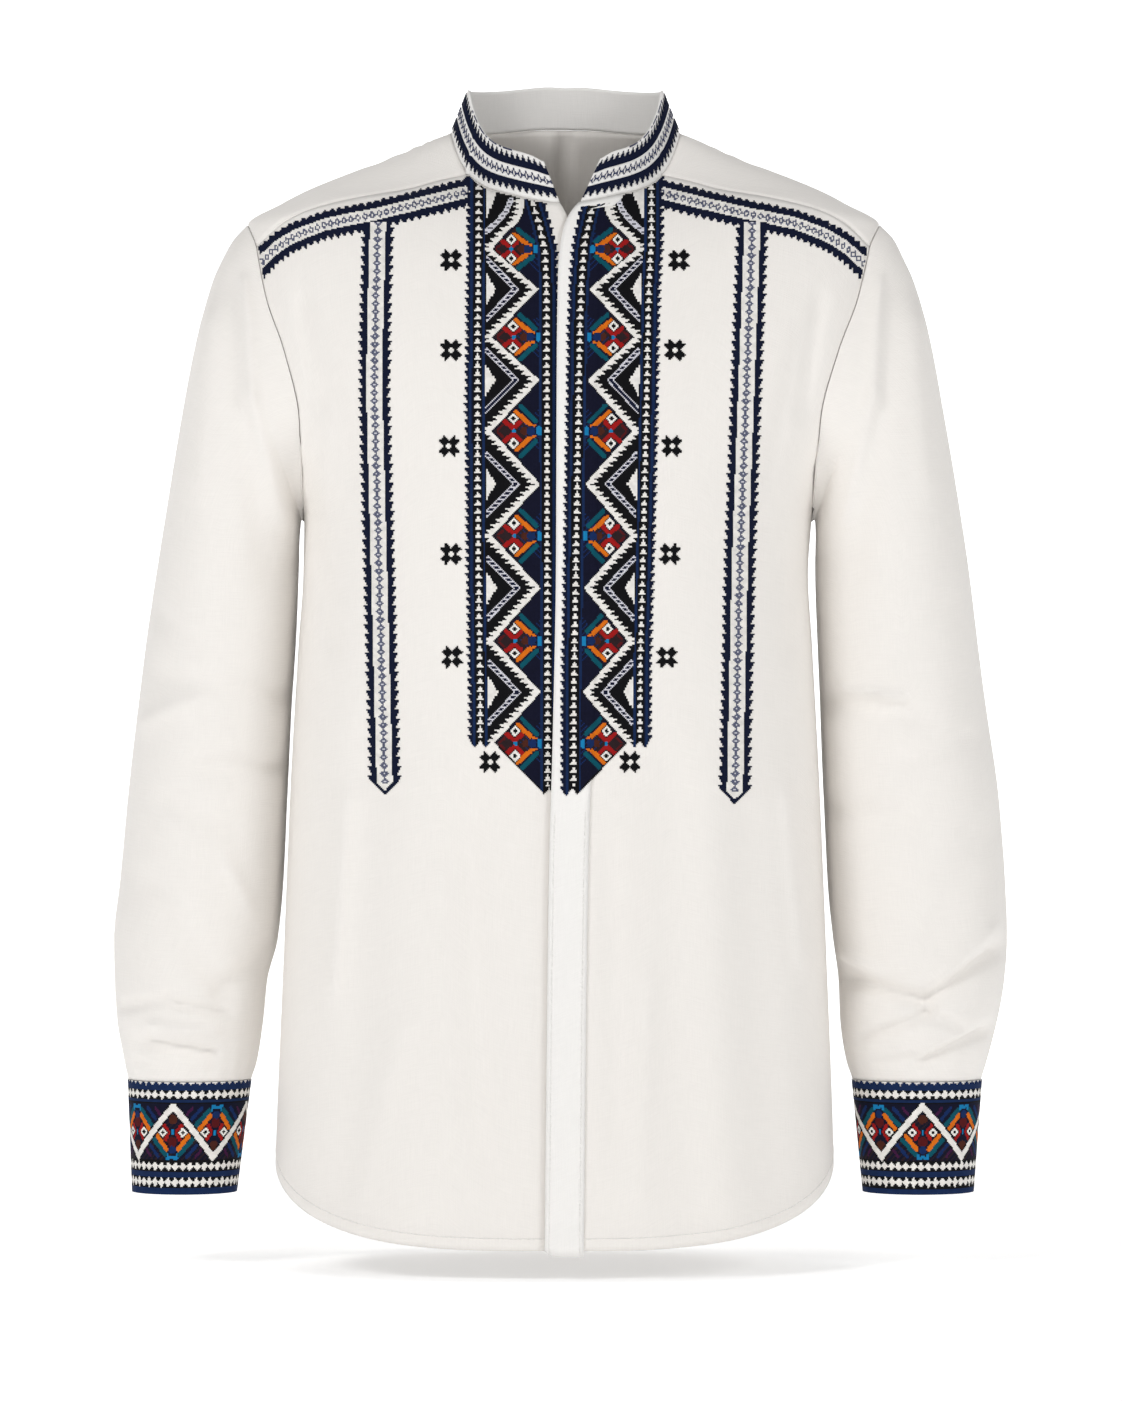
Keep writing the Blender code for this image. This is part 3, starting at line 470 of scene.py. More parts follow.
# Creases of the sleeves that the picture shows, on the -X sleeve and on the +X sleeve
RIGHT_SLEEVE_CREASES = from_picture((
    (250, 290, 256, 400, 8, 1.6),
    (256, 400, 283, 520, 8, 1.0),
    (213, 330, 206, 480, 14, 1.0),
    (155, 610, 200, 650, 9, -0.7),
    (150, 720, 200, 700, 9, 0.8),
    (170, 800, 235, 830, 10, -1.0),
    (125, 1005, 170, 995, 5, -1.2),
    (180, 1000, 230, 1010, 4.5, -1.6),
    (150, 1040, 215, 1050, 4.5, -1.4),
    (160, 1022, 215, 1028, 5, 1.2),
    (140, 1061, 161, 1067, 4, -0.9),
    (199, 1072, 221, 1066, 4, -0.9),
    (230, 860, 250, 905, 7, 0.9),
), 1.0)
LEFT_SLEEVE_CREASES = from_picture((
    (874, 290, 868, 400, 8, 1.3),
    (868, 400, 842, 520, 8, 0.8),
    (912, 330, 920, 480, 14, 0.9),
    (940, 610, 905, 650, 9, -0.7),
    (845, 688, 893, 697, 5, 1.6),
    (900, 760, 960, 740, 10, -0.8),
    (848, 980, 913, 995, 5.5, -1.6),
    (923, 995, 993, 950, 5, -1.4),
    (863, 1035, 923, 1010, 5, -1.6),
    (923, 1010, 958, 1025, 5, -1.2),
    (918, 1060, 983, 1030, 4, -1.5),
    (870, 1062, 905, 1056, 4, -0.9),
    (940, 968, 985, 930, 7, 1.0),
    (843, 955, 870, 968, 7, 1.2),
), 1.0)


def through(table, column, at):
    """Monotone cubic curve through one column of a table whose first column is the position."""
    rows = np.asarray(table, dtype=float)
    rows = rows[np.argsort(rows[:, 0])]
    knots = rows[:, 0]
    values = rows[:, column]
    gaps = np.diff(knots)
    slopes = np.diff(values) / gaps
    tangents = np.zeros(len(knots))
    tangents[0] = slopes[0]
    tangents[-1] = slopes[-1]
    before = slopes[:-1]
    after = slopes[1:]
    same_way = before * after > 0.0
    total = np.where(same_way, before + after, 1.0)
    tangents[1:-1] = np.where(same_way, 2.0 * before * after / total, 0.0)
    at = np.clip(at, knots[0], knots[-1])
    index = np.clip(np.searchsorted(knots, at, side="right") - 1, 0, len(gaps) - 1)
    gap = gaps[index]
    t = (at - knots[index]) / gap
    start = (2.0 * t**3 - 3.0 * t**2 + 1.0) * values[index]
    start_slope = (t**3 - 2.0 * t**2 + t) * gap * tangents[index]
    end = (3.0 * t**2 - 2.0 * t**3) * values[index + 1]
    end_slope = (t**3 - t**2) * gap * tangents[index + 1]
    return start + start_slope + end + end_slope


def ease(t):
    """Smooth step from 0 to 1."""
    t = np.clip(t, 0.0, 1.0)
    return t * t * (3.0 - 2.0 * t)


# The form of the body

def body_centre(z):
    return through(RINGS, 1, z)


def body_half_width(z):
    return through(RINGS, 2, z)


def body_point(side, turn, z):
    """Point of the body form. side is -1 or +1, turn is in radians, + toward the back."""
    depth = np.where(turn > 0.0, through(RINGS, 4, z), through(RINGS, 3, z))
    across = np.abs(np.cos(turn)) ** (2.0 / SUPERELLIPSE)
    along = np.sign(turn) * np.abs(np.sin(turn)) ** (2.0 / SUPERELLIPSE)
    x = body_centre(z) + side * body_half_width(z) * across
    return np.stack(np.broadcast_arrays(x, depth * along, z), axis=-1)


def turn_of(distance, z):
    """Size of the turn at a distance from the body's centre line."""
    part = np.clip(np.abs(distance) / body_half_width(z), 0.0, 1.0)
    return np.arccos(part ** (SUPERELLIPSE / 2.0))


def neck_height(x, y):
    """Height at which the body form is met by an upright line, by halving steps."""
    low = np.full(np.shape(x), NECK_LOWEST_Z)
    high = np.full(np.shape(x), RINGS[0][0])
    for _ in range(HALVING_STEPS):
        middle = 0.5 * (low + high)
        depth = np.where(y > 0.0, through(RINGS, 4, middle), through(RINGS, 3, middle))
        across = np.abs(x - body_centre(middle)) / body_half_width(middle)
        along = np.abs(y) / depth
        outside = across**SUPERELLIPSE + along**SUPERELLIPSE > 1.0
        high = np.where(outside, middle, high)
        low = np.where(outside, low, middle)
    return 0.5 * (low + high)


def neckline(turn):
    """Neckline point at a turn in plan: 0 is the +X side, +90 degrees the back."""
    x = NECK_CENTRE_X + NECK_HALF_WIDTH * np.cos(turn)
    y = np.where(np.sin(turn) > 0.0, NECK_BACK, NECK_FRONT) * np.sin(turn)
    return np.stack([x, y, neck_height(x, y)], axis=-1)


def neck_height_at(x, back):
    """Height of the front or back neckline at x."""
    part = np.clip((x - NECK_CENTRE_X) / NECK_HALF_WIDTH, -1.0, 1.0)
    y = (NECK_BACK if back else -NECK_FRONT) * np.sqrt(1.0 - part**2)
    return neck_height(x, y)


def creases(x, z, folds):
    """Height of soft folds at (x, z): each a straight trough or ridge that fades at its ends."""
    total = np.zeros(np.shape(x))
    for x_start, z_start, x_end, z_end, half_width, depth in folds:
        run = np.hypot(x_end - x_start, z_end - z_start)
        along = ((x - x_start) * (x_end - x_start) + (z - z_start) * (z_end - z_start)) / run**2
        aside = ((x - x_start) * (z_end - z_start) - (z - z_start) * (x_end - x_start)) / run
        past_end = np.maximum(np.maximum(-along, along - 1.0), 0.0) * run / half_width
        total = total + depth * np.exp(-(aside / half_width) ** 2 - 0.5 * past_end**2)
    return total


def surface_normals(points, closed=False):
    """Unit normals of a grid of points, along its columns crossed with its rows."""
    if closed:
        wrapped = np.concatenate([points[:, -1:], points, points[:, :1]], axis=1)
        across = (wrapped[:, 2:] - wrapped[:, :-2]) * 0.5
    else:
        across = np.gradient(points, axis=1)
    upward = np.gradient(points, axis=0)
    normal = np.cross(across, upward)
    return normal / np.maximum(np.linalg.norm(normal, axis=-1, keepdims=True), 1e-9)


def moved_out(points, distance, flip, closed=False):
    """Points moved out from their own surface."""
    sign = -1.0 if flip else 1.0
    return points + sign * surface_normals(points, closed) * np.asarray(distance)[..., None]


def hem_height(part, drop):
    """Height of the hem where part is the distance out as a share of the half width."""
    return HEM_SIDE_Z - drop * np.sqrt(1.0 - np.clip(part, 0.0, 1.0) ** HEM_ROUNDNESS)


# The seams of the body

def armhole_angles():
    """Angles round an armhole: 0 is the shoulder tip, 90 degrees the front, 180 the armpit."""
    fall = (SHOULDER_TIP_Z - SHOULDER_SEAM_OUTER_Z) / (SHOULDER_TIP_Z - ARMPIT_Z)
    seam = math.acos(1.0 - 2.0 * fall)
    to_seam = np.linspace(0.0, seam, ARMHOLE_STEPS[0] + 1)[:-1]
    down_front = np.linspace(seam, math.pi, ARMHOLE_STEPS[1] + 1)[:-1]
    up_back = np.linspace(math.pi, 2.0 * math.pi, ARMHOLE_STEPS[2] + 1)[:-1]
    return np.concatenate([to_seam, down_front, up_back])


def armhole_loop(side):
    """Armhole seam of one side, a point for each of its angles."""
    angles = armhole_angles()
    z = SHOULDER_TIP_Z + (ARMPIT_Z - SHOULDER_TIP_Z) * 0.5 * (1.0 - np.cos(angles))
    in_front = np.arange(len(angles)) < ARMHOLE_STEPS[0] + ARMHOLE_STEPS[1]
    out = np.where(in_front, through(ARMHOLE_FRONT, 1, z), through(ARMHOLE_BACK, 1, z))
    turn = turn_of(out, z) * np.where(in_front, -1.0, 1.0)
    return body_point(side, turn, z)


def side_seam_heights():
    return np.linspace(HEM_SIDE_Z, ARMPIT_Z, SIDE_SEAM_ROWS + 1)


# The fronts

def shoulder_seam_curve():
    """Shoulder seam from the armhole in to the neck, as turns and heights."""
    seam_out = np.linspace(SHOULDER_SEAM[-1][0], SHOULDER_SEAM_INNER, EDGE_POINTS)
    seam_z = through(SHOULDER_SEAM, 1, seam_out)
    return turn_of(seam_out, seam_z), seam_z


def shoulder_seam_turns():
    """Turns at which both the front and the back have a column on the shoulder seam."""
    turns, _ = shoulder_seam_curve()
    return np.linspace(turns[-1], turns[0], SHOULDER_COLUMNS + 1)


def front_top_curve(side):
    """Top edge of a front as turns and heights: the shoulder seam, then the neckline."""
    seam_turn, seam_z = shoulder_seam_curve()
    neck_out = np.linspace(SHOULDER_SEAM_INNER, -PAST_MIDDLE, EDGE_POINTS)[1:]
    neck_x = body_centre(FRONT_NECK_Z) + side * neck_out
    neck_z = neck_height_at(neck_x, back=False)
    neck_turn = turn_of(np.maximum(side * (neck_x - body_centre(neck_z)), 0.0), neck_z)
    turns = np.concatenate([seam_turn, neck_turn])
    heights = np.concatenate([seam_z - OUTER_SEAM_GAP, neck_z])
    return turns, heights


def front_row_shares():
    """Rows of a front as shares of its height at the side, set by the side seam and the armhole."""
    first = ARMHOLE_STEPS[0]
    last = first + ARMHOLE_STEPS[1]
    armhole = armhole_loop(1.0)[first:last, 2][::-1]
    heights = np.concatenate([side_seam_heights(), armhole])
    return (heights - heights[0]) / (heights[-1] - heights[0])


def front_outer_turn(z):
    """Turn of the side seam below the armpit and of the armhole seam above it."""
    in_armhole = np.clip(z, ARMPIT_Z, SHOULDER_SEAM_OUTER_Z)
    turn = turn_of(through(ARMHOLE_FRONT, 1, in_armhole), in_armhole)
    return np.where(z > ARMPIT_Z, turn, 0.0)


def front_columns(side, z, inner_columns):
    """x of each column of a front at heights z, from the middle edge out to the side."""
    inner = inner_columns(z)
    centre = body_centre(z)
    start = turn_of(np.maximum(side * (inner[-1] - centre), 0.0), z)
    junction = shoulder_seam_turns()[0]
    end = front_outer_turn(z)
    turns = []
    for step in range(1, FRONT_NECK_COLUMNS + 1):
        turns.append(start + (junction - start) * step / FRONT_NECK_COLUMNS)
    for step in range(1, SHOULDER_COLUMNS + 1):
        turns.append(junction + (end - junction) * step / SHOULDER_COLUMNS)
    columns = list(inner)
    for turn in turns:
        across = np.cos(turn) ** (2.0 / SUPERELLIPSE)
        columns.append(centre + side * body_half_width(z) * across)
    return np.array(columns)


def front_grid(side, inner_columns):
    """Grid of a front, rows from the hem up and columns from the middle edge out."""
    top_turns, top_heights = front_top_curve(side)
    order = np.argsort(top_turns)
    count = len(inner_columns(np.array(0.0))) + FRONT_NECK_COLUMNS + SHOULDER_COLUMNS
    hem_x = front_columns(side, np.array(HEM_MIDDLE_Z), inner_columns)
    hem_part = np.abs(hem_x - body_centre(HEM_MIDDLE_Z)) / body_half_width(HEM_MIDDLE_Z)
    bottom = hem_height(hem_part, HEM_FRONT_DROP)
    top = np.full(count, TOP_EDGE_FIRST_Z)
    for _ in range(TOP_EDGE_STEPS):
        top_x = np.array([front_columns(side, top[k], inner_columns)[k] for k in range(count)])
        out = side * (top_x - body_centre(top))
        turn = turn_of(np.maximum(out, 0.0), top)
        seam_or_neck = np.interp(turn, top_turns[order], top_heights[order])
        near_middle = neck_height_at(top_x, back=False)
        top = np.where(out < NECKLINE_ALONE_WITHIN, near_middle, seam_or_neck)
    bottom[-1] = HEM_SIDE_Z
    top[-1] = SHOULDER_SEAM_OUTER_Z
    z = bottom + (top - bottom) * front_row_shares()[:, None]
    z[-1, -1] -= OUTER_SEAM_GAP
    x = np.empty_like(z)
    for column in range(count):
        x[:, column] = front_columns(side, z[:, column], inner_columns)[column]
    turn = -turn_of(x - body_centre(z), z)
    turn_side = np.sign(x - body_centre(z))
    points = body_point(turn_side, turn, z)
    at_side = z[:, -1] <= ARMPIT_Z
    points[at_side, -1, 1] -= 0.5 * OUTER_SEAM_GAP
    return points


def over_columns(z):
    """Middle columns of the overlapping front: its edge and the width of the placket."""
    edge = through(OVER_EDGE, 1, z)
    return np.array([edge + PLACKET_WIDTH * share for share in np.linspace(0.0, 1.0, INNER_COLUMNS)])


def tucked_line(z):
    """Where the front beneath is fully tucked back: just outside the overlapping edge."""
    beside_over = through(OVER_EDGE, 1, z) - TUCK_BESIDE_EDGE
    beside_under = through(UNDER_EDGE, 1, z) - TUCK_LEAST_WIDTH
    return np.minimum(beside_over, beside_under)


def under_columns(z):
    """Middle columns of the front beneath: hidden edge, the tuck, and its ramp in even steps."""
    edge = through(UNDER_EDGE, 1, z)
    tucked = tucked_line(z)
    ramp = [tucked - TUCK_RAMP * share for share in np.linspace(0.0, 1.0, INNER_COLUMNS - 1)]
    return np.array([edge] + ramp)


def tuck_depth(x, z):
    """How far the front beneath stands back: nothing before the ramp, all of TUCK_DEPTH past it."""
    along_ramp = np.clip((x - tucked_line(z) + TUCK_RAMP) / TUCK_RAMP, 0.0, 1.0)
    below_neck = ease((TUCK_STARTS_Z - z) / (TUCK_STARTS_Z - TUCK_FULL_Z))
    return TUCK_DEPTH * along_ramp * below_neck


def ripple(x, z):
    """Faint waves of worn linen: three slow sines at odd angles, half a millimetre at most."""
    first, second, third = (np.sin(x * by_x + z * by_z + start) for by_x, by_z, start in RIPPLES)
    return RIPPLE_HEIGHT * (first + second * third)


def hem_band(above_hem):
    """Height of the hem's turned-up band over the cloth, at a distance above the hem's edge."""
    return HEM_RISE * ease((HEM_BAND + 0.5 * HEM_BAND_STEP - above_hem) / HEM_BAND_STEP)


def front_relief(x, z, side, above_hem):
    """Height of a front over the plain form: large folds, creases, faint waves, hem band and tuck."""
    relief = creases(x, z, FRONT_FOLDS) + creases(x, z, FRONT_CREASES) + ripple(x, z)
    relief = relief + hem_band(above_hem)
    if side < 0.0:
        relief = relief - tuck_depth(x, z)
    return relief


def front_lean(x, z):
    """How much further forward a height shows: 1 where the form faces the front, 2 at the most."""
    power = SUPERELLIPSE - 1.0
    across = np.clip(np.abs(x - body_centre(z)) / body_half_width(z), 0.0, 0.999)
    along = (1.0 - across**SUPERELLIPSE) ** (1.0 / SUPERELLIPSE)
    slope_x = across**power / body_half_width(z)
    slope_y = along**power / through(RINGS, 3, z)
    return np.minimum(np.hypot(slope_x, slope_y) / slope_y, LEAN_MOST)


def front_surface(x, z, height):
    """y of a front at x and z: the form's own depth there, and a height over it."""
    across = np.clip(np.abs(x - body_centre(z)) / body_half_width(z), 0.0, 1.0)
    depth = through(RINGS, 3, z) * (1.0 - across**SUPERELLIPSE) ** (1.0 / SUPERELLIPSE)
    return -depth - height * front_lean(x, z)


def front_panel(side, inner_columns):
    """A front, with its relief raised forward of the form."""
    points = front_grid(side, inner_columns)
    x, y, z = np.moveaxis(points, -1, 0)
    relief = front_relief(x, z, side, z - z[:1])
    points[..., 1] = y - relief * front_lean(x, z)
    return points


def front_stitch_corners(x_px, y_px, side):
    """Places of stitch corners: where the camera's line through a pixel meets the front's threads.

    The line is x = the pixel's place in the plane y = 0, drawn together toward the camera by
    1 + y / its distance, so y is found by turns from the surface and the line.
    """
    flat_x = (x_px - AXIS_PX) * PIXEL
    flat_z = (LEVEL_PX - y_px) * PIXEL
    y = np.full(flat_x.shape, FIRST_SEWN_Y)
    for _ in range(SEWN_ROUNDS):
        spread = 1.0 + y / CAMERA_DISTANCE
        x = CAMERA_X + (flat_x - CAMERA_X) * spread
        z = CAMERA_Z + (flat_z - CAMERA_Z) * spread
        height = front_relief(x, z, side, ABOVE_HEM_BAND) + THREAD_LIFT
        if side > 0.0:
            past_band = x - through(OVER_EDGE, 1, z) - PLACKET_WIDTH
            height = height + (SEAM_GAP + CLOTH) * ease(1.0 - past_band / PLACKET_STEP)
        y = front_surface(x, z, height)
    return np.stack([x, y, z], axis=-1)


def on_front(corners, side):
    """True for stitches that lie on a front: inside its neckline, shoulder seam, armhole and edge."""
    four_corners = corners[:-1, :-1] + corners[1:, :-1] + corners[:-1, 1:] + corners[1:, 1:]
    x, _, z = np.moveaxis(0.25 * four_corners, -1, 0)
    out = side * (x - body_centre(z))
    seam = through(SHOULDER_SEAM, 1, np.maximum(out, SHOULDER_SEAM_INNER))
    top = np.where(out < SHOULDER_SEAM_INNER, neck_height_at(x, back=False), seam)
    armhole = through(ARMHOLE_FRONT, 1, np.maximum(z, ARMPIT_Z))
    inside = (z < top - SEWN_FROM_SEAM) & (out < armhole - SEWN_FROM_SEAM)
    if side > 0.0:
        return inside & (x > through(OVER_EDGE, 1, z) + SEWN_FROM_EDGE)
    return inside & (x < tucked_line(z) + SEWN_PAST_TUCK)


def placket_grid(front):
    """The placket is made from the points of the front that it lies on, moved out."""
    band = moved_out(front, np.full(front.shape[:2], SEAM_GAP + CLOTH), flip=False)
    points = band[:, :INNER_COLUMNS].copy()
    points[-1] += PLACKET_BELOW_COLLAR_ROWS * (points[-2] - points[-1])
    rounded = 1.0 - np.sqrt(1.0 - (1.0 - np.linspace(0.0, 1.0, INNER_COLUMNS)) ** 6)
    points[0, :, 2] -= PLACKET_BELOW_HEM * (1.0 - rounded)
    return points


# The back, which wraps over the shoulders to the forward shoulder seams

def evenly(curve, shares):
    """Points of a curve at shares of its length."""
    steps = np.linalg.norm(np.diff(curve, axis=0), axis=-1)
    run = np.concatenate([[0.0], np.cumsum(steps)])
    return np.stack([np.interp(shares, run / run[-1], curve[:, k]) for k in range(3)], axis=-1)


def back_armhole_edge(side):
    """Armhole from the armpit up the back, over the tip, and forward to the shoulder seam."""
    loop = armhole_loop(side)
    return np.roll(loop, ARMHOLE_STEPS[2], axis=0)[:ARMHOLE_STEPS[2] + ARMHOLE_STEPS[0] + 1]


def back_top_edge(side, start_out):
    """Columns of half a back at its top edge: round the neckline, then along the shoulder seam."""
    seam_turns, seam_heights = shoulder_seam_curve()
    joint = body_point(side, -seam_turns[-1], seam_heights[-1])
    start = math.acos(start_out / NECK_HALF_WIDTH)
    end = math.asin(max(joint[1] / NECK_FRONT, -1.0))
    turn_in_plan = np.linspace(start, end, EDGE_POINTS)
    neck = neckline(turn_in_plan if side > 0.0 else math.pi - turn_in_plan)
    neck[-1] = joint
    round_neck = evenly(neck, np.linspace(0.0, 1.0, BACK_NECK_COLUMNS + 1))
    turns = shoulder_seam_turns()[1:]
    heights = np.interp(turns, seam_turns, seam_heights)
    return np.concatenate([round_neck, body_point(side, -turns, heights)])


def beyond_body(points):
    """How far points lie outside the body form, as a share of its size there."""
    x, y, z = np.moveaxis(points, -1, 0)
    depth = np.where(y > 0.0, through(RINGS, 4, z), through(RINGS, 3, z))
    across = np.abs(x - body_centre(z)) / body_half_width(z)
    total = across**SUPERELLIPSE + (np.abs(y) / depth) ** SUPERELLIPSE
    return total ** (1.0 / SUPERELLIPSE) - 1.0


def onto_body(points):
    """Points brought onto the body form, square to it, by Newton steps."""
    for _ in range(NEWTON_STEPS):
        beyond = beyond_body(points)
        slope = np.empty_like(points)
        for axis in range(3):
            offset = np.zeros(3)
            offset[axis] = SLOPE_REACH
            ahead = beyond_body(points + offset)
            behind = beyond_body(points - offset)
            slope[..., axis] = (ahead - behind) / (2.0 * SLOPE_REACH)
        square = np.sum(slope**2, axis=-1)
        points = points - (beyond / np.maximum(square, 1e-9))[..., None] * slope
    return points


def relaxed(grid):
    """Inner points of a grid evened out between their neighbours, on the form, but by the armhole."""
    columns = grid.shape[1]
    from_armhole = columns - 1.0 - np.arange(1, columns - 1)
    share = RELAXING_SHARE * ease(from_armhole / (0.5 * columns))[:, None]
    for _ in range(RELAXING_ROUNDS):
        for _ in range(EVENING_STEPS):
            beside = grid[1:-1, :-2] + grid[1:-1, 2:]
            above_and_below = grid[:-2, 1:-1] + grid[2:, 1:-1]
            even = 0.25 * (beside + above_and_below)
            grid[1:-1, 1:-1] += share * (even - grid[1:-1, 1:-1])
        grid[1:-1, 1:-1] = onto_body(grid[1:-1, 1:-1])
    return grid


def armpit_row(side, start_out):
    """Columns of half a back at the height of the armpit, from its first column out to the side."""
    shares = np.linspace(0.0, 1.0, BACK_NECK_COLUMNS + SHOULDER_COLUMNS + 1)
    turns = np.linspace(float(turn_of(start_out, ARMPIT_Z)), 0.0, EDGE_POINTS)
    return evenly(body_point(side, turns, np.full(EDGE_POINTS, ARMPIT_Z)), shares)


def back_half_upper(side, start_out):
    """Upper half of the back, blended between its four edges and brought onto the form."""
    outer = back_armhole_edge(side)
    rows = np.linspace(0.0, 1.0, len(outer))
    columns = np.linspace(0.0, 1.0, BACK_NECK_COLUMNS + SHOULDER_COLUMNS + 1)
    top = back_top_edge(side, start_out)
    middle_z = np.linspace(ARMPIT_Z, top[0, 2], EDGE_POINTS)
    middle = evenly(body_point(side, turn_of(start_out, middle_z), middle_z), rows)
    bottom = armpit_row(side, start_out)
    v = rows[:, None, None]
    w = columns[None, :, None]
    sides = (1.0 - w) * middle[:, None] + w * outer[:, None]
    ends = (1.0 - v) * bottom[None] + v * top[None]
    low_corners = (1.0 - v) * ((1.0 - w) * bottom[0] + w * bottom[-1])
    high_corners = v * ((1.0 - w) * top[0] + w * top[-1])
    blend = sides + ends - low_corners - high_corners
    grid = onto_body(blend)
    grid[0] = bottom
    grid[-1] = top
    grid[:, 0] = middle
    grid[:, -1] = outer
    return relaxed(grid)


def back_half_lower(side, start_out):
    """Lower half of the back, from the hem up to the armpit."""
    at_armpit = armpit_row(side, start_out)
    turns = turn_of(at_armpit[:, 0] - body_centre(ARMPIT_Z), ARMPIT_Z)
    part = np.cos(turns) ** (2.0 / SUPERELLIPSE)
    hem = hem_height(part, HEM_BACK_DROP)
    hem[-1] = HEM_SIDE_Z
    share = np.linspace(0.0, 1.0, SIDE_SEAM_ROWS + 1)[:-1, None]
    z = hem + (ARMPIT_Z - hem) * share
    return body_point(side, np.broadcast_to(turns, z.shape), z)


def pleat_columns(side, heights):
    """Columns of the box pleat beside the middle of the back, one for each distance out."""
    columns = []
    for out in (PLEAT_HALF_WIDTH, PLEAT_HALF_WIDTH + PLEAT_SIDE):
        columns.append(body_point(side, turn_of(out, heights), heights))
    return columns


def back_grid():
    """Grid of the back, rows from the hem up and columns from -X to +X."""
    first_out = 2.0 * PLEAT_HALF_WIDTH + PLEAT_SIDE
    halves = []
    for side in (-1.0, 1.0):
        lower = back_half_lower(side, first_out)
        upper = back_half_upper(side, first_out)
        lower[:, -1, 1] += 0.5 * OUTER_SEAM_GAP
        upper[0, -1, 1] += 0.5 * OUTER_SEAM_GAP
        half = np.concatenate([lower, upper], axis=0)
        heights = half[:, 0, 2]
        pleat = pleat_columns(side, heights)
        halves.append(np.concatenate([np.stack(pleat, axis=1), half], axis=1))
    first_heights = halves[0][:, 0, 2]
    middle = body_point(1.0, np.full(first_heights.shape, math.pi / 2.0), first_heights)[:, None]
    points = np.concatenate([halves[0][:, ::-1], middle, halves[1]], axis=1)
    heights = points[..., 2]
    on_pleat = np.zeros(points.shape[:2])
    centre = halves[0].shape[1]
    on_pleat[:-1, centre - 1:centre + 2] = PLEAT_HEIGHT
    strength = ease((heights - PLEAT_FADES_Z) / (0.0 - PLEAT_FADES_Z))
    at_back = ease(points[..., 1] / BACK_FOLDS_FULL_Y)
    folds = creases(points[..., 0], heights, BACK_FOLDS) * at_back
    return moved_out(points, folds + on_pleat * strength, flip=True)


# Sleeves and cuffs

def sleeve_section(side, outer_z, inner_z, angles):
    """Ovals between outer and inner edges of the sleeve, one for each pair of heights."""
    column = 1 if side < 0.0 else 2
    outer_z = np.asarray(outer_z)[..., None]
    inner_z = np.asarray(inner_z)[..., None]
    outer_x = side * through(SLEEVE_OUTER, column, outer_z)
    inner_x = side * through(SLEEVE_INNER, column, inner_z)
    half_depth = through(SLEEVE_DEPTH, 1, outer_z)
    middle_y = through(SLEEVE_DEPTH, 2, outer_z)
    x = 0.5 * (outer_x + inner_x) + 0.5 * (outer_x - inner_x) * np.cos(angles)
    z = 0.5 * (outer_z + inner_z) + 0.5 * (outer_z - inner_z) * np.cos(angles)
    y = middle_y - half_depth * np.sin(angles)
    return np.stack(np.broadcast_arrays(x, y, z), axis=-1)


def sleeve_grid(side, folds, hidden_folds):
    """Grid of a sleeve, rows from the armhole down and columns round the arm.

    The sections turn from the armhole's plane to level, and the difference between the armhole and
    its oval dies away over a few rows. Folds of the front half and of the hidden half are separate.
    """
    angles = armhole_angles()
    seam = armhole_loop(side)
    away = seam - sleeve_section(side, SHOULDER_TIP_Z, ARMPIT_Z, angles)
    levels = [(z, z) for z in SLEEVE_LEVEL_ROWS]
    heights = np.array([(SHOULDER_TIP_Z, ARMPIT_Z)] + list(SLEEVE_FAN) + levels)
    steps = np.arange(len(heights), dtype=float)
    table = np.column_stack([steps, heights])
    step = np.linspace(0.0, steps[-1], SLEEVE_ROWS)
    near_tip = 0.5 * (1.0 + np.cos(angles))
    upright_rows = ARMHOLE_ROWS_LEAST + ARMHOLE_ROWS_MORE_AT_TIP * near_tip
    depth_rows = np.full(near_tip.shape, ARMHOLE_ROWS_DEPTH)
    blend_rows = np.stack([upright_rows, depth_rows, upright_rows], axis=-1)
    share = ease(step[:, None, None] / blend_rows)
    points = sleeve_section(side, through(table, 1, step), through(table, 2, step), angles)
    points = points + (1.0 - share) * away
    step_off = points[1] - seam
    step_off /= np.linalg.norm(step_off, axis=-1, keepdims=True)
    points[0] = seam + OUTER_SEAM_GAP * step_off
    x, z = points[..., 0], points[..., 2]
    above_cuff = ease((z - SLEEVE_LEVEL_ROWS[-1]) / CUFF_GATHER_LENGTH)
    below_armhole = ease((step[:, None] - FOLDS_START_STEP) / FOLDS_FULL_AFTER)
    in_front = ease(np.sin(angles) * 2.0)
    at_back = ease(-np.sin(angles) * 2.0)
    height = creases(x, z, folds) * in_front + creases(x, z, hidden_folds) * at_back + ripple(x, z)
    height = height * above_cuff * below_armhole
    drift = GATHER_DRIFT * np.sin(angles * GATHER_DRIFT_COUNT)
    gathers = np.sin(angles * GATHER_COUNT + drift) * GATHER_DEPTH
    over_cuff = z - SLEEVE_LEVEL_ROWS[-1]
    near_cuff = np.exp(-(over_cuff / GATHER_LENGTH) ** 2)
    off_cuff = 1.0 - np.exp(-(over_cuff / GATHER_FADE) ** 2)
    height = height - np.abs(gathers) * near_cuff * off_cuff
    return moved_out(points, height, flip=side < 0.0, closed=True)


def cuff_grid(side):
    """Grid of a cuff, rows from the sleeve down: ovals that narrow toward the hand."""
    angles = armhole_angles()
    rings = np.array(CUFF_RINGS)
    z = np.linspace(rings[0, 0], rings[-1, 0], CUFF_ROWS)[:, None]
    centre = -through(rings, 1, z) if side < 0.0 else through(rings, 3, z)
    half = through(rings, 2, z) if side < 0.0 else through(rings, 4, z)
    x = centre + side * half * np.cos(angles)
    y = through(rings, 6, z) - through(rings, 5, z) * np.sin(angles)
    return np.stack(np.broadcast_arrays(x, y, z), axis=-1)


# Collar

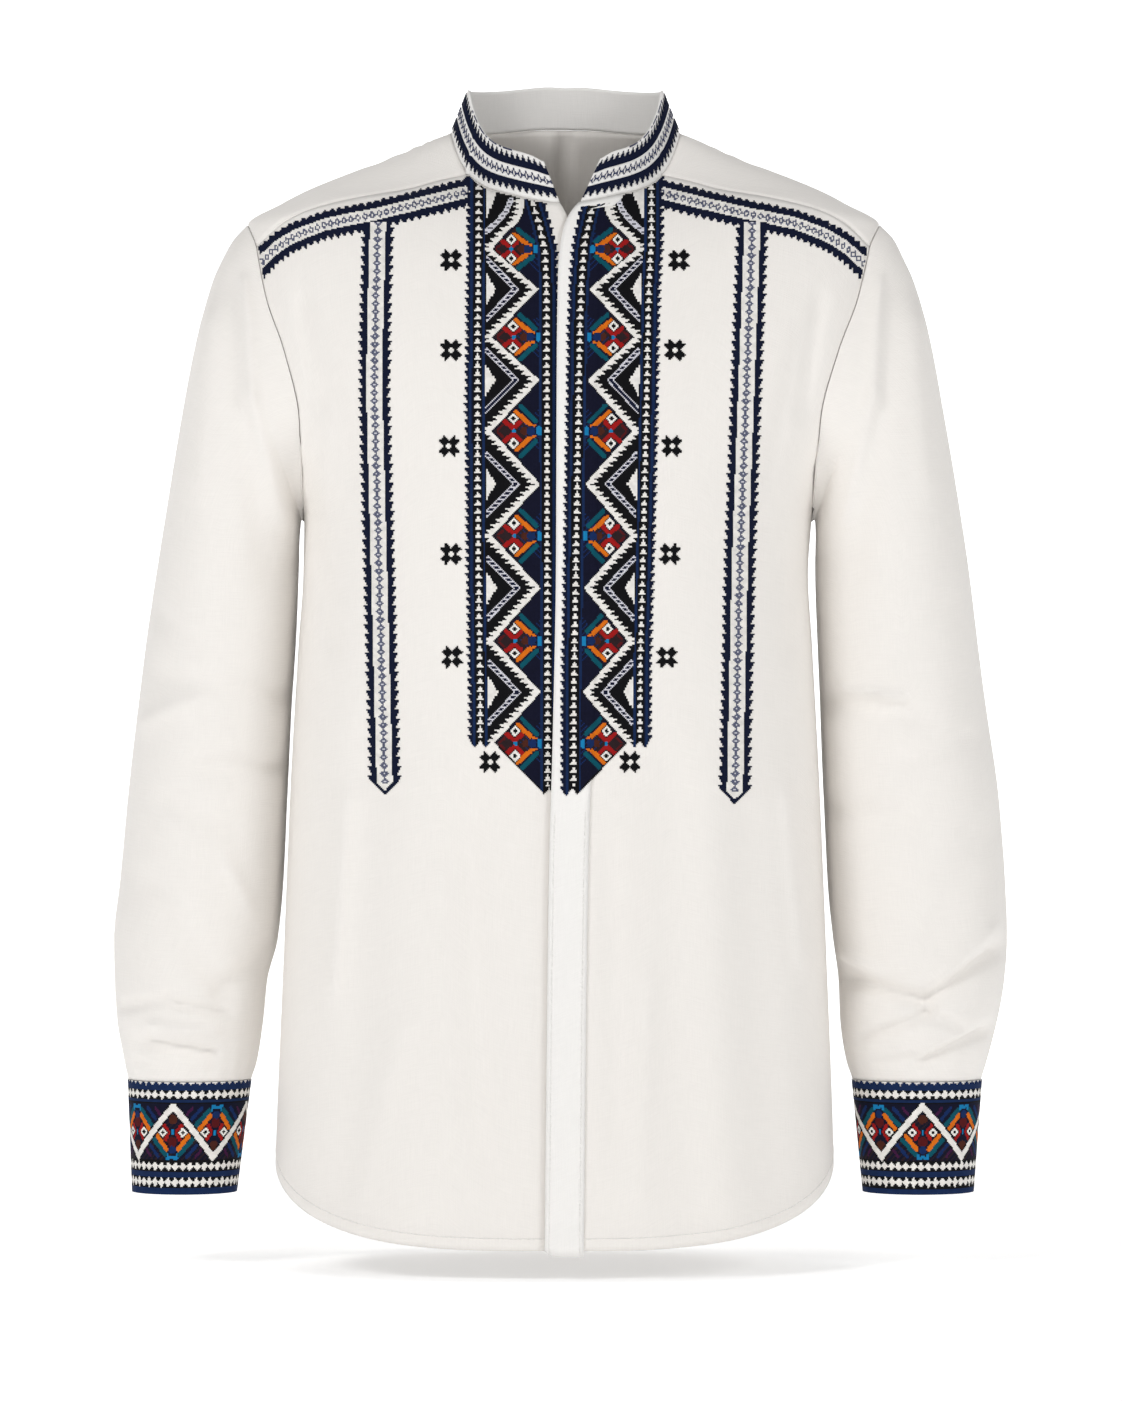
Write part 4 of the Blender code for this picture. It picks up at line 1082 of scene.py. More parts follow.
def neck_edge(front_left, back, front_right):
    """Points of the neckline that the panels share with the collar, from the +X front end round."""
    before_joint = front_left.shape[1] - SHOULDER_COLUMNS - 1
    from_left = front_left[-1, :before_joint]
    round_back = back[-1, ::-1][SHOULDER_COLUMNS:back.shape[1] - SHOULDER_COLUMNS]
    to_right = front_right[-1, :before_joint][::-1]
    return np.concatenate([from_left, round_back, to_right])


def with_midpoints(points):
    """A row of points with the middle of each of its stretches put in."""
    middles = 0.5 * (points[:-1] + points[1:])
    paired = np.stack([points[:-1], middles], axis=1).reshape(-1, 3)
    return np.concatenate([paired, points[-1:]])


def collar_grid(edge):
    """Grid of the stand collar, rows from its seam up, columns from the +X front end round the back."""
    edge = with_midpoints(edge)
    rows = np.linspace(0.0, 1.0, COLLAR_ROWS)
    depth = np.where(edge[:, 1] > 0.0, NECK_BACK, NECK_FRONT)
    turn = np.unwrap(np.arctan2(edge[:, 1] / depth, (edge[:, 0] - NECK_CENTRE_X) / NECK_HALF_WIDTH))
    share = (turn - turn[0]) / (turn[-1] - turn[0])
    top_turn = np.radians(COLLAR_TOP_TURNS[0] + (COLLAR_TOP_TURNS[1] - COLLAR_TOP_TURNS[0]) * share)
    top_depth = np.where(np.sin(top_turn) > 0.0, COLLAR_TOP_BACK, COLLAR_TOP_FRONT)
    top_x = NECK_CENTRE_X + COLLAR_TOP_HALF_WIDTH * np.cos(top_turn)
    top_y = top_depth * np.sin(top_turn)
    from_end = np.minimum(share, 1.0 - share) * NECK_FRONT * (turn[-1] - turn[0])
    corner = COLLAR_CORNER_DROP * np.exp(-(from_end / COLLAR_CORNER_LENGTH) ** 2)
    same_turn_base = neckline(top_turn)
    top = np.stack([top_x, top_y, same_turn_base[:, 2] + COLLAR_RISE - corner], axis=-1)
    base = edge + np.array([0.0, 0.0, COLLAR_LIFT])
    return base + (top - base) * rows[:, None, None]


def grid_faces(rows, columns, closed, flip):
    """Quads of a grid, with its columns joined up where it is closed."""
    row = np.arange(rows - 1)[:, None]
    column = np.arange(columns if closed else columns - 1)[None, :]
    following = (column + 1) % columns
    corners = [
        row * columns + column,
        row * columns + following,
        (row + 1) * columns + following,
        (row + 1) * columns + column,
    ]
    if flip:
        corners.reverse()
    return np.stack(np.broadcast_arrays(*corners), axis=-1).reshape(-1, 4)


# Pieces and materials

def piece_from(name, vertices, faces, uv, material, smooth=True):
    """A mesh object at the origin from arrays: vertices in millimetres, quads, and a UV per corner."""
    mesh = bpy.data.meshes.new(name)
    mesh.vertices.add(len(vertices))
    mesh.vertices.foreach_set("co", (np.asarray(vertices) * MM).astype(np.float32).ravel())
    mesh.loops.add(faces.size)
    mesh.loops.foreach_set("vertex_index", faces.astype(np.int32).ravel())
    mesh.polygons.add(len(faces))
    corners = faces.shape[1]
    mesh.polygons.foreach_set("loop_start", np.arange(0, faces.size, corners, dtype=np.int32))
    mesh.update(calc_edges=True)
    layer = mesh.uv_layers.new(name="UVMap")
    layer.data.foreach_set("uv", uv.astype(np.float32).ravel())
    if smooth:
        mesh.shade_smooth()
    mesh.materials.append(material)
    piece = bpy.data.objects.new(name, mesh)
    bpy.context.scene.collection.objects.link(piece)
    return piece


def walled(piece, thickness, offset=-1.0):
    """Gives an open surface its wall: inward with offset -1."""
    wall = piece.modifiers.new("wall", "SOLIDIFY")
    wall.thickness = thickness * MM
    wall.offset = offset
    wall.use_rim = True
    return piece


def arc_lengths(points):
    """UV of a grid in metres: length run along each row, and down each column from the top row."""
    across = np.linalg.norm(np.diff(points, axis=1), axis=-1)
    down = np.linalg.norm(np.diff(points, axis=0), axis=-1)
    u = np.concatenate([np.zeros((points.shape[0], 1)), np.cumsum(across, axis=1)], axis=1)
    u -= u[:, u.shape[1] // 2][:, None]
    v = np.concatenate([np.zeros((1, points.shape[1])), np.cumsum(down, axis=0)], axis=0)
    v -= v[-1]
    return np.stack([u, v], axis=-1) * MM


def cloth(name, points, thickness, material, flip=False, closed=False):
    """A shell of cloth on a grid of points, with its wall inward and its weave along the grid."""
    rows, columns = points.shape[:2]
    faces = grid_faces(rows, columns, closed, flip)
    wrapped = np.concatenate([points, points[:, :1]], axis=1) if closed else points
    uv_grid = arc_lengths(wrapped).reshape(-1, 2)
    uv_faces = grid_faces(rows, wrapped.shape[1], False, flip)
    piece = piece_from(name, points.reshape(-1, 3), faces, uv_grid[uv_faces.ravel()], material)
    return walled(piece, thickness)


def linear(red, green, blue):
    """Linear colour from a picture's red, green and blue, 0 to 255."""
    coded = np.array([red, green, blue]) / 255.0
    low = coded / 12.92
    high = ((coded + 0.055) / 1.055) ** 2.4
    return tuple(np.where(coded <= 0.04045, low, high)) + (1.0,)


# Embroidery: a chart gives each stitch its thread. Charts are painted in picture pixels

THREADS = {
    "white": linear(240, 237, 232),
    "navy": linear(12, 20, 46),
    "blue_line": linear(18, 40, 80),
    "black": linear(9, 9, 13),
    "ink": linear(42, 28, 32),
    "deep_navy": linear(13, 15, 38),
    "grey": linear(92, 96, 118),
    "grey_navy": linear(60, 66, 98),
    "pale_grey": linear(214, 214, 222),
    "red": linear(160, 22, 22),
    "dark_red": linear(86, 18, 22),
    "brown": linear(74, 34, 24),
    "orange": linear(222, 112, 20),
    "teal": linear(3, 82, 98),
    "light_blue": linear(20, 126, 182),
    "dark_blue": linear(16, 42, 92),
    "purple": linear(62, 20, 60),
}
THREAD_NAMES = list(THREADS)


class Chart:
    """A field of stitches, each with its place across and down in pixels, and its thread."""

    def __init__(self, across, down):
        self.x, self.y = np.broadcast_arrays(across, down)
        self.thread = np.full(self.x.shape, -1)

    def fill(self, where, thread):
        self.thread[where] = THREAD_NAMES.index(thread)

    def stroke(self, start, end, width, thread, within=True):
        """A straight bar: stitches within half the width of the line between its ends."""
        run_x = end[0] - start[0]
        run_y = end[1] - start[1]
        along = ((self.x - start[0]) * run_x + (self.y - start[1]) * run_y) / (run_x**2 + run_y**2)
        along = np.clip(along, 0.0, 1.0)
        away = np.hypot(self.x - start[0] - along * run_x, self.y - start[1] - along * run_y)
        self.fill((away <= 0.5 * width) & within, thread)

    def lozenge(self, centre, half_diagonal, thread, tall=1.0):
        """A square on its corner: distances across and down from the centre add up to its size."""
        size = np.abs(self.x - centre[0]) + np.abs(self.y - centre[1]) / tall
        self.fill(size <= half_diagonal, thread)

    def spot(self, centre, radius, thread):
        self.fill(np.hypot(self.x - centre[0], self.y - centre[1]) <= radius, thread)

    def star(self, centre):
        """An eight-pointed star: two points on each of its four sides, and a white middle."""
        out_x = np.abs(self.x - centre[0])
        out_y = np.abs(self.y - centre[1])
        far = np.maximum(out_x, out_y)
        near = np.minimum(out_x, out_y)
        flank = np.minimum(5.5 + 1.04 * near, 11.3 - 3.07 * (near - 5.6))
        self.fill(far <= flank, "black")
        self.fill(out_x + out_y <= 3.5, "white")


def saw(place, pitch):
    """Even teeth: 0 at the roots, rising straight to 1 at the tips."""
    return 1.0 - np.abs(2.0 * np.mod(place / pitch, 1.0) - 1.0)


def lean_saw(place, pitch):
    """Leaning teeth: each starts at 1 and falls straight to 0, where the next one starts."""
    return 1.0 - np.mod(place / pitch, 1.0)


def diamond_chain(chart, along, off, pitch, half_height, thread, inside, hollow, within):
    """A row of lozenges: at each pitch the two distances, each as a share of its half, add up to 1."""
    step = np.mod(along, pitch) - 0.5 * pitch
    size = np.abs(step) / (0.5 * pitch) + np.abs(off) / half_height
    chart.fill((size <= 1.0) & within, thread)
    chart.fill((size <= hollow) & within, inside)


def triangle_column(chart, away, within):
    """White triangles, one above the other, each with its point up, on black."""
    height = np.mod(chart.y + 3.0, TRIANGLE_PITCH)
    half = TRIANGLE_HALF * height / TRIANGLE_HEIGHT
    chart.fill((np.abs(away) <= half) & (height <= TRIANGLE_HEIGHT) & within, "white")


# The two panels beside the placket. "Out" is the distance from the shirt's middle line, in pixels
PANEL_AXIS = 560.8
SLANT_TOP = 742.7
SLANT_OUT = 66.6
SLANT_SLOPE = 0.97
FIELD_FROM_EDGE = 21.0
FIELD_TO_OUT = 76.4
OUTER_BAND_FROM = 69.0
INNER_TRIANGLES = 13.6
OUTER_TRIANGLES = 83.6
LADDER_OUT = 44.8
LADDER_PITCH = 4.05
WEDGE_STEP = 1.8
WEDGE_BASE_OUT = 75.6
TRIANGLE_PITCH = 8.1
TRIANGLE_HEIGHT = 6.9
TRIANGLE_HALF = 4.0
TOOTH_PITCH = 8.1
ZIGZAG_TOOTH_PITCH = 5.4
FIRST_FIELD_SHIFT = 2.0
PATTERN_START = 20.9
PATTERN_WIDTH = 62.7
# The panels narrow downward: height, out to the start of the field, out to the outer band's middle
PANEL_TAPER = {
    -1: ((240.0, 22.5, 82.3), (400.0, 21.0, 83.6), (560.0, 20.5, 82.5), (700.0, 20.0, 80.5)),
    1: (
        (240.0, 29.0, 90.6),
        (288.0, 28.5, 88.0),
        (380.0, 26.8, 86.2),
        (425.0, 25.0, 85.3),
        (554.0, 23.5, 82.3),
        (657.0, 22.2, 79.6),
        (750.0, 21.3, 79.1),
    ),
}
ZIGZAG_CORNERS = (249.0, 337.0, 431.0, 536.0, 641.0, 743.6)
ZIGZAG_TIPS = (289.0, 380.0, 484.0, 588.0, 692.0, 795.0)
ZIGZAG_CORNER_OUT = 69.4
ZIGZAG_TIP_OUT = 20.9
FIRST_CURVE = ((202.0, 35.4), (212.7, 37.1), (222.6, 42.8), (232.6, 54.8))
INNER_EDGE = {
    -1: ((186.0, 20.0), (200.0, 15.2), (225.0, 8.0), (250.0, 2.0), (300.0, 0.5), (800.0, -0.5)),
    1: ((186.0, 26.5), (191.0, 23.7), (210.0, 17.2), (243.0, 10.2), (260.0, 8.8), (285.0, 7.0),
        (325.0, 5.5), (405.0, 4.2), (700.0, -0.7)),
}
STARS = {
    -1: ((451, 260), (451, 350), (449, 446), (451, 554), (452, 657), (490, 762)),
    1: ((679, 260), (675, 350), (672, 446), (670, 554), (667, 657), (630, 762)),
}


def zigzag_out(down):
    """How far out the zigzag's smooth edge runs: straight lines between corners and tips."""
    corners = [(y, ZIGZAG_CORNER_OUT) for y in ZIGZAG_CORNERS]
    tips = [(y, ZIGZAG_TIP_OUT) for y in ZIGZAG_TIPS]
    knots = np.array(sorted(list(FIRST_CURVE) + corners + tips))
    return np.interp(down, knots[:, 0], knots[:, 1])


def drawn_out(chart, side):
    """Distance out as the pattern has it: the panel's taper is taken up evenly across its field."""
    table = np.array(PANEL_TAPER[side])
    start = np.interp(chart.y, table[:, 0], table[:, 1])
    end = np.interp(chart.y, table[:, 0], table[:, 2])
    return PATTERN_START + PATTERN_WIDTH * (side * (chart.x - PANEL_AXIS) - start) / (end - start)


def eyed_motif(chart, side, middle, tall, shift):
    """The motif of one field: two lozenge eyes, red brackets, orange and teal bars, a blue block."""

    def at(distance_out, below):
        return (PANEL_AXIS + side * (distance_out + shift), middle + below * tall)

    for way in (-1.0, 1.0):
        chart.stroke(at(40.2, 25.0 * way), at(25.0, 9.8 * way), 4.8, "teal")
        chart.stroke(at(44.6, 18.6 * way), at(31.6, 7.6 * way), 4.8, "orange")
        chart.stroke(at(31.6, 7.2 * way), at(26.0, 5.4 * way), 2.2, "orange")
        chart.stroke(at(56.4, 9.8 * way), at(47.8, 3.0 * way), 4.6, "red")
        chart.stroke(at(41.0, 9.0 * way), at(47.8, 3.0 * way), 4.6, "red")
        chart.lozenge(at(47.4, 12.4 * way), 7.0, "black")
        chart.lozenge(at(47.4, 12.4 * way), 5.7, "white")
        chart.lozenge(at(47.4, 12.4 * way), 2.7, "black")
        chart.stroke(at(63.0, 1.5 * way), at(58.5, 5.5 * way), 2.4, "dark_red")
    chart.spot(at(36.4, 0.0), 4.0, "brown")
    chart.spot(at(30.0, 0.0), 4.2, "dark_blue")
    chart.spot(at(47.0, 0.0), 2.1, "light_blue")
    chart.stroke(at(21.8, -2.4), at(21.8, 2.4), 4.8, "light_blue")


def points_below(away, spread):
    """Two points beside a notch: 0 at the notch and beyond the points, 1 at each tip."""
    return np.clip(1.0 - np.abs(np.abs(away) - spread) / spread, 0.0, 1.0)


def panel_shape(chart, side, drawn, edge):
    """Where a panel is sewn: leaning teeth on both edges, points below, and a slant between them."""
    down = chart.y
    shape = edge >= 3.6 - 4.2 * lean_saw(down, TOOTH_PITCH)
    shape &= drawn <= 92.6 + 4.6 * lean_saw(down + 2.0, TOOTH_PITCH)
    outer_points = 740.4 + 7.4 * points_below(drawn - OUTER_TRIANGLES, 5.8)
    outer_part = (drawn >= OUTER_BAND_FROM) & (down <= outer_points)
    inner_points = 788.0 + 8.0 * points_below(edge - 12.2, 6.0)
    inner_points = np.where(edge < FIELD_FROM_EDGE, inner_points, 800.0)
    above_slant = (down <= SLANT_TOP) | (side * (chart.x - PANEL_AXIS) <= slant_out(down))
    inner_part = (drawn < OUTER_BAND_FROM) & above_slant & (down <= inner_points)
    return shape & (outer_part | inner_part)


def slant_out(down):
    """How far out the slanting lower edge of a panel runs."""
    return SLANT_OUT - SLANT_SLOPE * (down - SLANT_TOP)


def panel_chart(chart, side):
    """One panel: two bands of triangles on navy with toothed edges, and a zigzag field between them."""
    down = chart.y
    out = side * (chart.x - PANEL_AXIS)
    drawn = drawn_out(chart, side)
    edge = out - np.interp(down, *np.array(INNER_EDGE[side]).T)
    pattern = Chart(PANEL_AXIS + side * drawn, down)
    pattern.thread = chart.thread
    shape = panel_shape(chart, side, drawn, edge)
    bands = (
        ("navy", edge, -5.0, 120.0),
        ("blue_line", edge, 5.4, 8.0),
        ("black", edge, 8.0, 18.5),
        ("blue_line", edge, 18.5, FIELD_FROM_EDGE),
        ("black", drawn, FIELD_TO_OUT, 88.3),
        ("blue_line", drawn, FIELD_TO_OUT, 78.8),
        ("blue_line", drawn, 89.0, 91.8),
    )
    for thread, place, nearest, farthest in bands:
        chart.fill(shape & (place >= nearest) & (place <= farthest), thread)
    field = shape & (edge >= FIELD_FROM_EDGE) & (drawn <= FIELD_TO_OUT)
    chart.fill(field, "black")
    beyond = drawn - zigzag_out(down)
    inside = field & (beyond < -1.2)
    chart.fill(inside, "deep_navy")
    for middle in ZIGZAG_CORNERS:
        tips = [y for y in ZIGZAG_TIPS if abs(y - middle) < 70.0]
        reach = float(np.mean(np.abs(np.array(tips) - middle)))
        warm = inside & (np.abs(down - middle) <= reach - 2.0)
        chart.fill(warm & (np.abs(down - middle) <= 21.0 - np.abs(drawn - 46.0)), "ink")
        dashes = np.mod(drawn + down, 5.4) < 1.4
        chart.fill(warm & dashes & (drawn + np.abs(down - middle) <= 44.0), "dark_blue")
        shift = FIRST_FIELD_SHIFT if middle == ZIGZAG_CORNERS[0] else 0.0
        eyed_motif(pattern, side, middle, reach / 52.0, shift)
    chart.thread[~shape] = -1
    outside = field & (beyond > 8.0)
    for tip in ZIGZAG_TIPS[:-1]:
        ladder_chevron(pattern, outside, side, tip)
    half_ladder(pattern, outside, side)
    tooth = 6.4 * saw(down + 1.5, ZIGZAG_TOOTH_PITCH)
    chart.fill(field & (beyond >= 0.0) & (beyond <= 5.2 + tooth) & (down <= 742.0), "white")
    chart.fill(field & (beyond >= -1.3) & (beyond < 0.0) & (down <= SLANT_TOP), "black")
    chart.fill(field & (down > SLANT_TOP) & (out > slant_out(down) - 1.8), "black")
    triangle_column(chart, edge - INNER_TRIANGLES, shape & (down < 786.0))
    triangle_column(chart, drawn - OUTER_TRIANGLES, shape & (down < 738.0))
    for star in STARS[side]:
        chart.star(star)


def ladder_chevron(chart, within, side, tip):
    """A pale ladder in a chevron, pointing at a tip of the zigzag, with a stepped white wedge behind."""
    out = side * (chart.x - PANEL_AXIS)
    off = np.abs(chart.y - tip)
    away = (out - LADDER_OUT - off) * math.sqrt(0.5)
    rung = np.mod(off + 0.8, LADDER_PITCH) < 2.8
    near = within & (off <= 33.0) & (out <= WEDGE_BASE_OUT)
    chart.fill(near & (np.abs(away) <= 2.7), "pale_grey")
    chart.fill(near & (np.abs(away) <= 1.55) & rung, "navy")
    white_wedge(chart, within, side, tip, 15.5, 9.6)


def white_wedge(chart, within, side, middle, tallest, reach):
    """A stepped white wedge on the outer edge of the field, narrowing toward the shirt's middle."""
    out = side * (chart.x - PANEL_AXIS)
    steps = WEDGE_STEP * np.floor((75.8 - out) / WEDGE_STEP)
    wedge = np.abs(chart.y - middle) <= tallest * (1.0 - steps / reach)
    chart.fill(within & wedge & (out >= 62.5) & (out <= WEDGE_BASE_OUT), "white")


def half_ladder(chart, within, side):
    """The curved start of the first ladder, under the collar, with its own wedge."""
    white_wedge(chart, within, side, 187.0, 31.0, 12.5)
    points = [(511.3, 200.0), (506.3, 211.0), (498.0, 221.0), (484.8, 232.0)]
    places = [(PANEL_AXIS + side * (PANEL_AXIS - x), y) for x, y in points]
    for start, end in zip(places, places[1:]):
        chart.stroke(start, end, 5.4, "pale_grey", within)
    for start, end in zip(places, places[1:]):
        chart.stroke(start, end, 2.8, "navy", within & (np.mod(chart.y, LADDER_PITCH) < 2.0))


# The strips along the shoulder and down the chest
SHOULDER_STRIP = {
    -1: (
        (255.0, 248.5), (274.0, 232.0), (293.6, 221.0), (325.7, 209.6),
        (375.7, 199.8), (429.3, 186.4), (470.0, 176.5),
    ),
    1: (
        (866.5, 247.0), (847.0, 231.0), (827.0, 220.0), (795.0, 208.6),
        (745.0, 198.6), (692.0, 186.0), (655.0, 176.5),
    ),
}
SCALLOP_PITCH = 7.6
CHEST_STRIP = {
    -1: ((222.0, 378.0), (330.0, 375.0), (400.0, 374.5), (795.0, 385.0)),
    1: ((222.0, 752.5), (560.0, 740.0), (804.0, 734.6)),
}


def shoulder_strip(chart, side, within):
    """A strip under the shoulder seam: place across it is the distance below its upper edge."""
    path = np.array(sorted(SHOULDER_STRIP[side]))
    upper = np.interp(chart.x, path[:, 0], path[:, 1])
    between_knots = 0.5 * (path[1:, 0] + path[:-1, 0])
    slope = np.interp(chart.x, between_knots, np.diff(path[:, 1]) / np.diff(path[:, 0]))
    across = (chart.y - upper) / np.sqrt(1.0 + slope**2)
    run = np.hypot(np.diff(path[:, 0]), np.diff(path[:, 1]))
    along = np.interp(chart.x, path[:, 0], np.concatenate([[0.0], np.cumsum(run)]))
    along = along + slope * across
    on_strip = within & (chart.x >= path[0, 0]) & (chart.x <= path[-1, 0])
    scallop = np.sqrt(saw(along, SCALLOP_PITCH))
    chart.fill(on_strip & (across >= 3.6 - 3.6 * scallop) & (across <= 8.4), "navy")
    chart.fill(on_strip & (across > 8.0) & (across < 20.0), "white")
    diamond_chain(chart, along, across - 14.2, 7.2, 4.2, "grey", "white", 0.42, on_strip)
    chart.fill(on_strip & (across >= 20.0) & (across <= 25.4 + 4.4 * saw(along, SCALLOP_PITCH)), "navy")


def chest_strip(chart, side):
    """A strip down the chest with a pointed end: place across it is the distance from its line."""
    path = np.array(CHEST_STRIP[side])
    middle = np.interp(chart.y, path[:, 0], path[:, 1])
    away = np.abs(chart.x - middle)
    top, bottom = path[0, 0], path[-1, 0]
    on_strip = (chart.y >= top) & (chart.y <= bottom)
    to_point = bottom - chart.y
    toothed = away <= np.minimum(12.4 + 4.6 * lean_saw(chart.y, 9.45), to_point)
    chart.fill(on_strip & toothed, "navy")
    chart.fill(on_strip & (away <= np.minimum(8.0, to_point - 4.5)), "white")
    linked = on_strip & (to_point > 12.0)
    chart.fill(linked & (away <= 0.9), "grey")
    diamond_chain(chart, chart.y, chart.x - middle, 8.1, 4.3, "grey", "pale_grey", 0.3, linked)


# Cuff, in pixels below its upper edge: bands, rows of lozenges with their half heights, and the pitch
# of teeth and lozenges in degrees
CUFF_BANDS = (
    (8.6, 18.2, "black"),
    (21.2, 82.4, "black"),
    (22.4, 81.0, "deep_navy"),
    (82.4, 93.0, "black"),
    (98.4, 110.2, "black"),
)
CUFF_LOZENGE_ROWS = ((12.9, 4.8), (87.2, 4.8), (103.8, 5.4))
CUFF_PITCH = 8.0

# Collar, in fiftieths of its height: pitch along it and the middle row
COLLAR_PITCH = 6.75
COLLAR_MIDDLE = 25.8


def cuff_chart(chart, first_peak):
    """A cuff: x is the turn in degrees, y is pixels below its upper edge, as the picture shows them."""
    degrees = chart.x
    down = chart.y
    scallop = np.sqrt(saw(degrees + 3.0, CUFF_PITCH))
    chart.fill(down >= 3.8 - 3.8 * scallop, "blue_line")
    for top, bottom, thread in CUFF_BANDS:
        chart.fill((down >= top) & (down <= bottom), thread)
    phase = np.mod(degrees - first_peak, 90.0)
    from_peak = np.minimum(phase, 90.0 - phase) / 45.0
    off_line = (down - 24.6 - 53.6 * from_peak) * 0.62
    in_field = (down >= 22.0) & (down <= 81.0)
    chart.fill(in_field & (off_line > 0.0) & (np.mod(down + degrees, 6.0) < 2.0), "ink")
    across = (degrees - first_peak) * CUFF_PX_PER_DEGREE
    for turn in range(-8, 9):
        upright = turn % 2 == 0
        cuff_motif(chart, across, 45.0 * turn * CUFF_PX_PER_DEGREE, 1.0 if upright else -1.0)
    chart.fill(in_field & (np.abs(off_line) <= 4.2), "black")
    chart.fill((np.abs(off_line) <= 2.9) & (down >= 21.5) & (down <= 82.5), "white")
    for row, height in CUFF_LOZENGE_ROWS:
        chart.fill(np.abs(down - row) <= 0.7, "white")
        diamond_chain(chart, degrees + 4.0, down - row, CUFF_PITCH, height, "white", "white", 0.0, True)


def cuff_motif(chart, across, middle, way):
    """The motif of a cuff, upright or upside down, with strokes of dark thread beside it."""
    local = Chart(across, chart.y)
    local.thread = chart.thread

    def at(aside, below):
        return (middle + aside, CUFF_MOTIF_LEVEL + way * below)

    for side in (-1.0, 1.0):
        local.stroke(at(30.0 * side, 10.0), at(17.0 * side, 25.0), 3.6, "dark_blue")
        local.stroke(at(35.0 * side, 15.0), at(27.0 * side, 25.0), 3.0, "purple")
        local.stroke(at(21.6 * side, 7.6), at(8.0 * side, 22.6), 5.2, "teal")
        local.stroke(at(17.8 * side, 3.6), at(6.6 * side, 17.2), 4.6, "orange")
        local.stroke(at(10.0 * side, -8.0), at(4.4 * side, -0.5), 3.8, "red")
        local.stroke(at(4.4 * side, 0.0), at(8.0 * side, 7.0), 3.8, "red")
        local.lozenge(at(10.8 * side, 0.0), 6.4, "black")
        local.lozenge(at(10.8 * side, 0.0), 5.2, "white")
        local.lozenge(at(10.8 * side, 0.0), 2.3, "black")
        local.stroke(at(5.4 * side, 27.0), at(0.0, 25.4), 3.2, "light_blue")
        local.stroke(at(5.4 * side, 23.0), at(5.4 * side, 27.0), 2.4, "light_blue")
    local.spot(at(0.0, 9.5), 5.2, "dark_red")
    local.spot(at(0.0, 18.0), 4.2, "dark_blue")
    local.spot(at(0.0, -14.0), 5.0, "brown")
    local.stroke(at(0.0, -2.4), at(0.0, 1.4), 2.0, "light_blue")


def collar_chart(chart, height):
    """The stand: x is pixels along it, y pixels below its upper edge, out of its height in pixels."""
    down = chart.y * 50.0 / height
    upper_teeth = 8.6 * saw(chart.x, COLLAR_PITCH)
    lower_teeth = 7.4 * saw(chart.x + 3.0, COLLAR_PITCH)
    off_middle = down - COLLAR_MIDDLE
    chart.fill((down >= 11.4 - upper_teeth) & (down <= 17.6), "navy")
    chart.fill((down >= 33.4) & (down <= 39.0 + lower_teeth), "navy")
    chart.fill(np.abs(off_middle) <= 0.9, "grey")
    diamond_chain(chart, chart.x, off_middle, COLLAR_PITCH, 4.9, "grey_navy", "white", 0.4, True)
    from_end = np.minimum(chart.x, chart.x.max() - chart.x)
    ragged = np.sin(0.31 * from_end) + np.sin(0.83 * from_end) > -0.4
    chart.fill((chart.y <= 1.5) & (from_end > 38.0) & (from_end < 120.0) & ragged, "grey_navy")


def stitches(name, corners, chart, material):
    """The stitches of a chart as one thin layer of thread: empty ones are left out."""
    rows, columns = chart.thread.shape
    shown = np.flatnonzero(chart.thread.ravel() >= 0)
    quads = grid_faces(rows + 1, columns + 1, False, False)[shown][:, ::-1]
    used, places = np.unique(quads.ravel(), return_inverse=True)
    faces = places.reshape(-1, 4)
    row, column = np.divmod(shown, columns)
    uv = np.stack([column, row], axis=-1)[:, None] + np.array([(0, 1), (1, 1), (1, 0), (0, 0)])
    piece = piece_from(name, corners.reshape(-1, 3)[used], faces, uv.reshape(-1, 2), material)
    colours = np.array(list(THREADS.values()))[chart.thread.ravel()[shown]]
    layer = piece.data.color_attributes.new("thread_colour", "FLOAT_COLOR", "CORNER")
    layer.data.foreach_set("color", np.repeat(colours, 4, axis=0).astype(np.float32).ravel())
    return walled(piece, THREAD_THICKNESS)


def band_stitches(name, grid, chart_painter, closed, material):
    """Stitches on a cuff or the collar: its grid is read again at stitch spacing, straight between
    its points, and raised square to it by the thread's lift."""
    wrapped = np.concatenate([grid, grid[:, :1]], axis=1) if closed else grid
    lengths = arc_lengths(wrapped) / (MM * PIXEL)
    run = lengths[wrapped.shape[0] // 2, :, 0]
    drop = -lengths[0, wrapped.shape[1] // 2, 1]
    columns = int(round((run[-1] - run[0]) / STITCH))
    rows = int(round(drop / STITCH))
    at_column = np.interp(np.linspace(run[0], run[-1], columns + 1), run, np.arange(len(run)))
    at_row = np.linspace(0.0, wrapped.shape[0] - 1.0, rows + 1)
    normals = surface_normals(grid, closed)
    if closed:
        normals = np.concatenate([normals, normals[:, :1]], axis=1)
    corners = between(wrapped, at_row, at_column)
    lift = THREAD_LIFT * outward_sign(wrapped, normals)
    corners = corners + lift * between(normals, at_row, at_column)
    chart = chart_painter(rows, columns, drop)
    return stitches(name, corners, chart, material)


def outward_sign(points, normals):
    """+1 where a ring's normals point away from its middle, -1 where they point in."""
    middle = points.mean(axis=(0, 1))
    return 1.0 if float(np.sum((points - middle)[..., :2] * normals[..., :2])) > 0.0 else -1.0


def between(grid, at_row, at_column):
    """A grid read at fractional rows and columns, straight between its points."""
    row = np.minimum(at_row.astype(int), grid.shape[0] - 2)
    column = np.minimum(at_column.astype(int), grid.shape[1] - 2)
    down = (at_row - row)[:, None, None]
    across = (at_column - column)[None, :, None]
    upper = (1.0 - across) * grid[row][:, column] + across * grid[row][:, column + 1]
    lower = (1.0 - across) * grid[row + 1][:, column] + across * grid[row + 1][:, column + 1]
    return (1.0 - down) * upper + down * lower


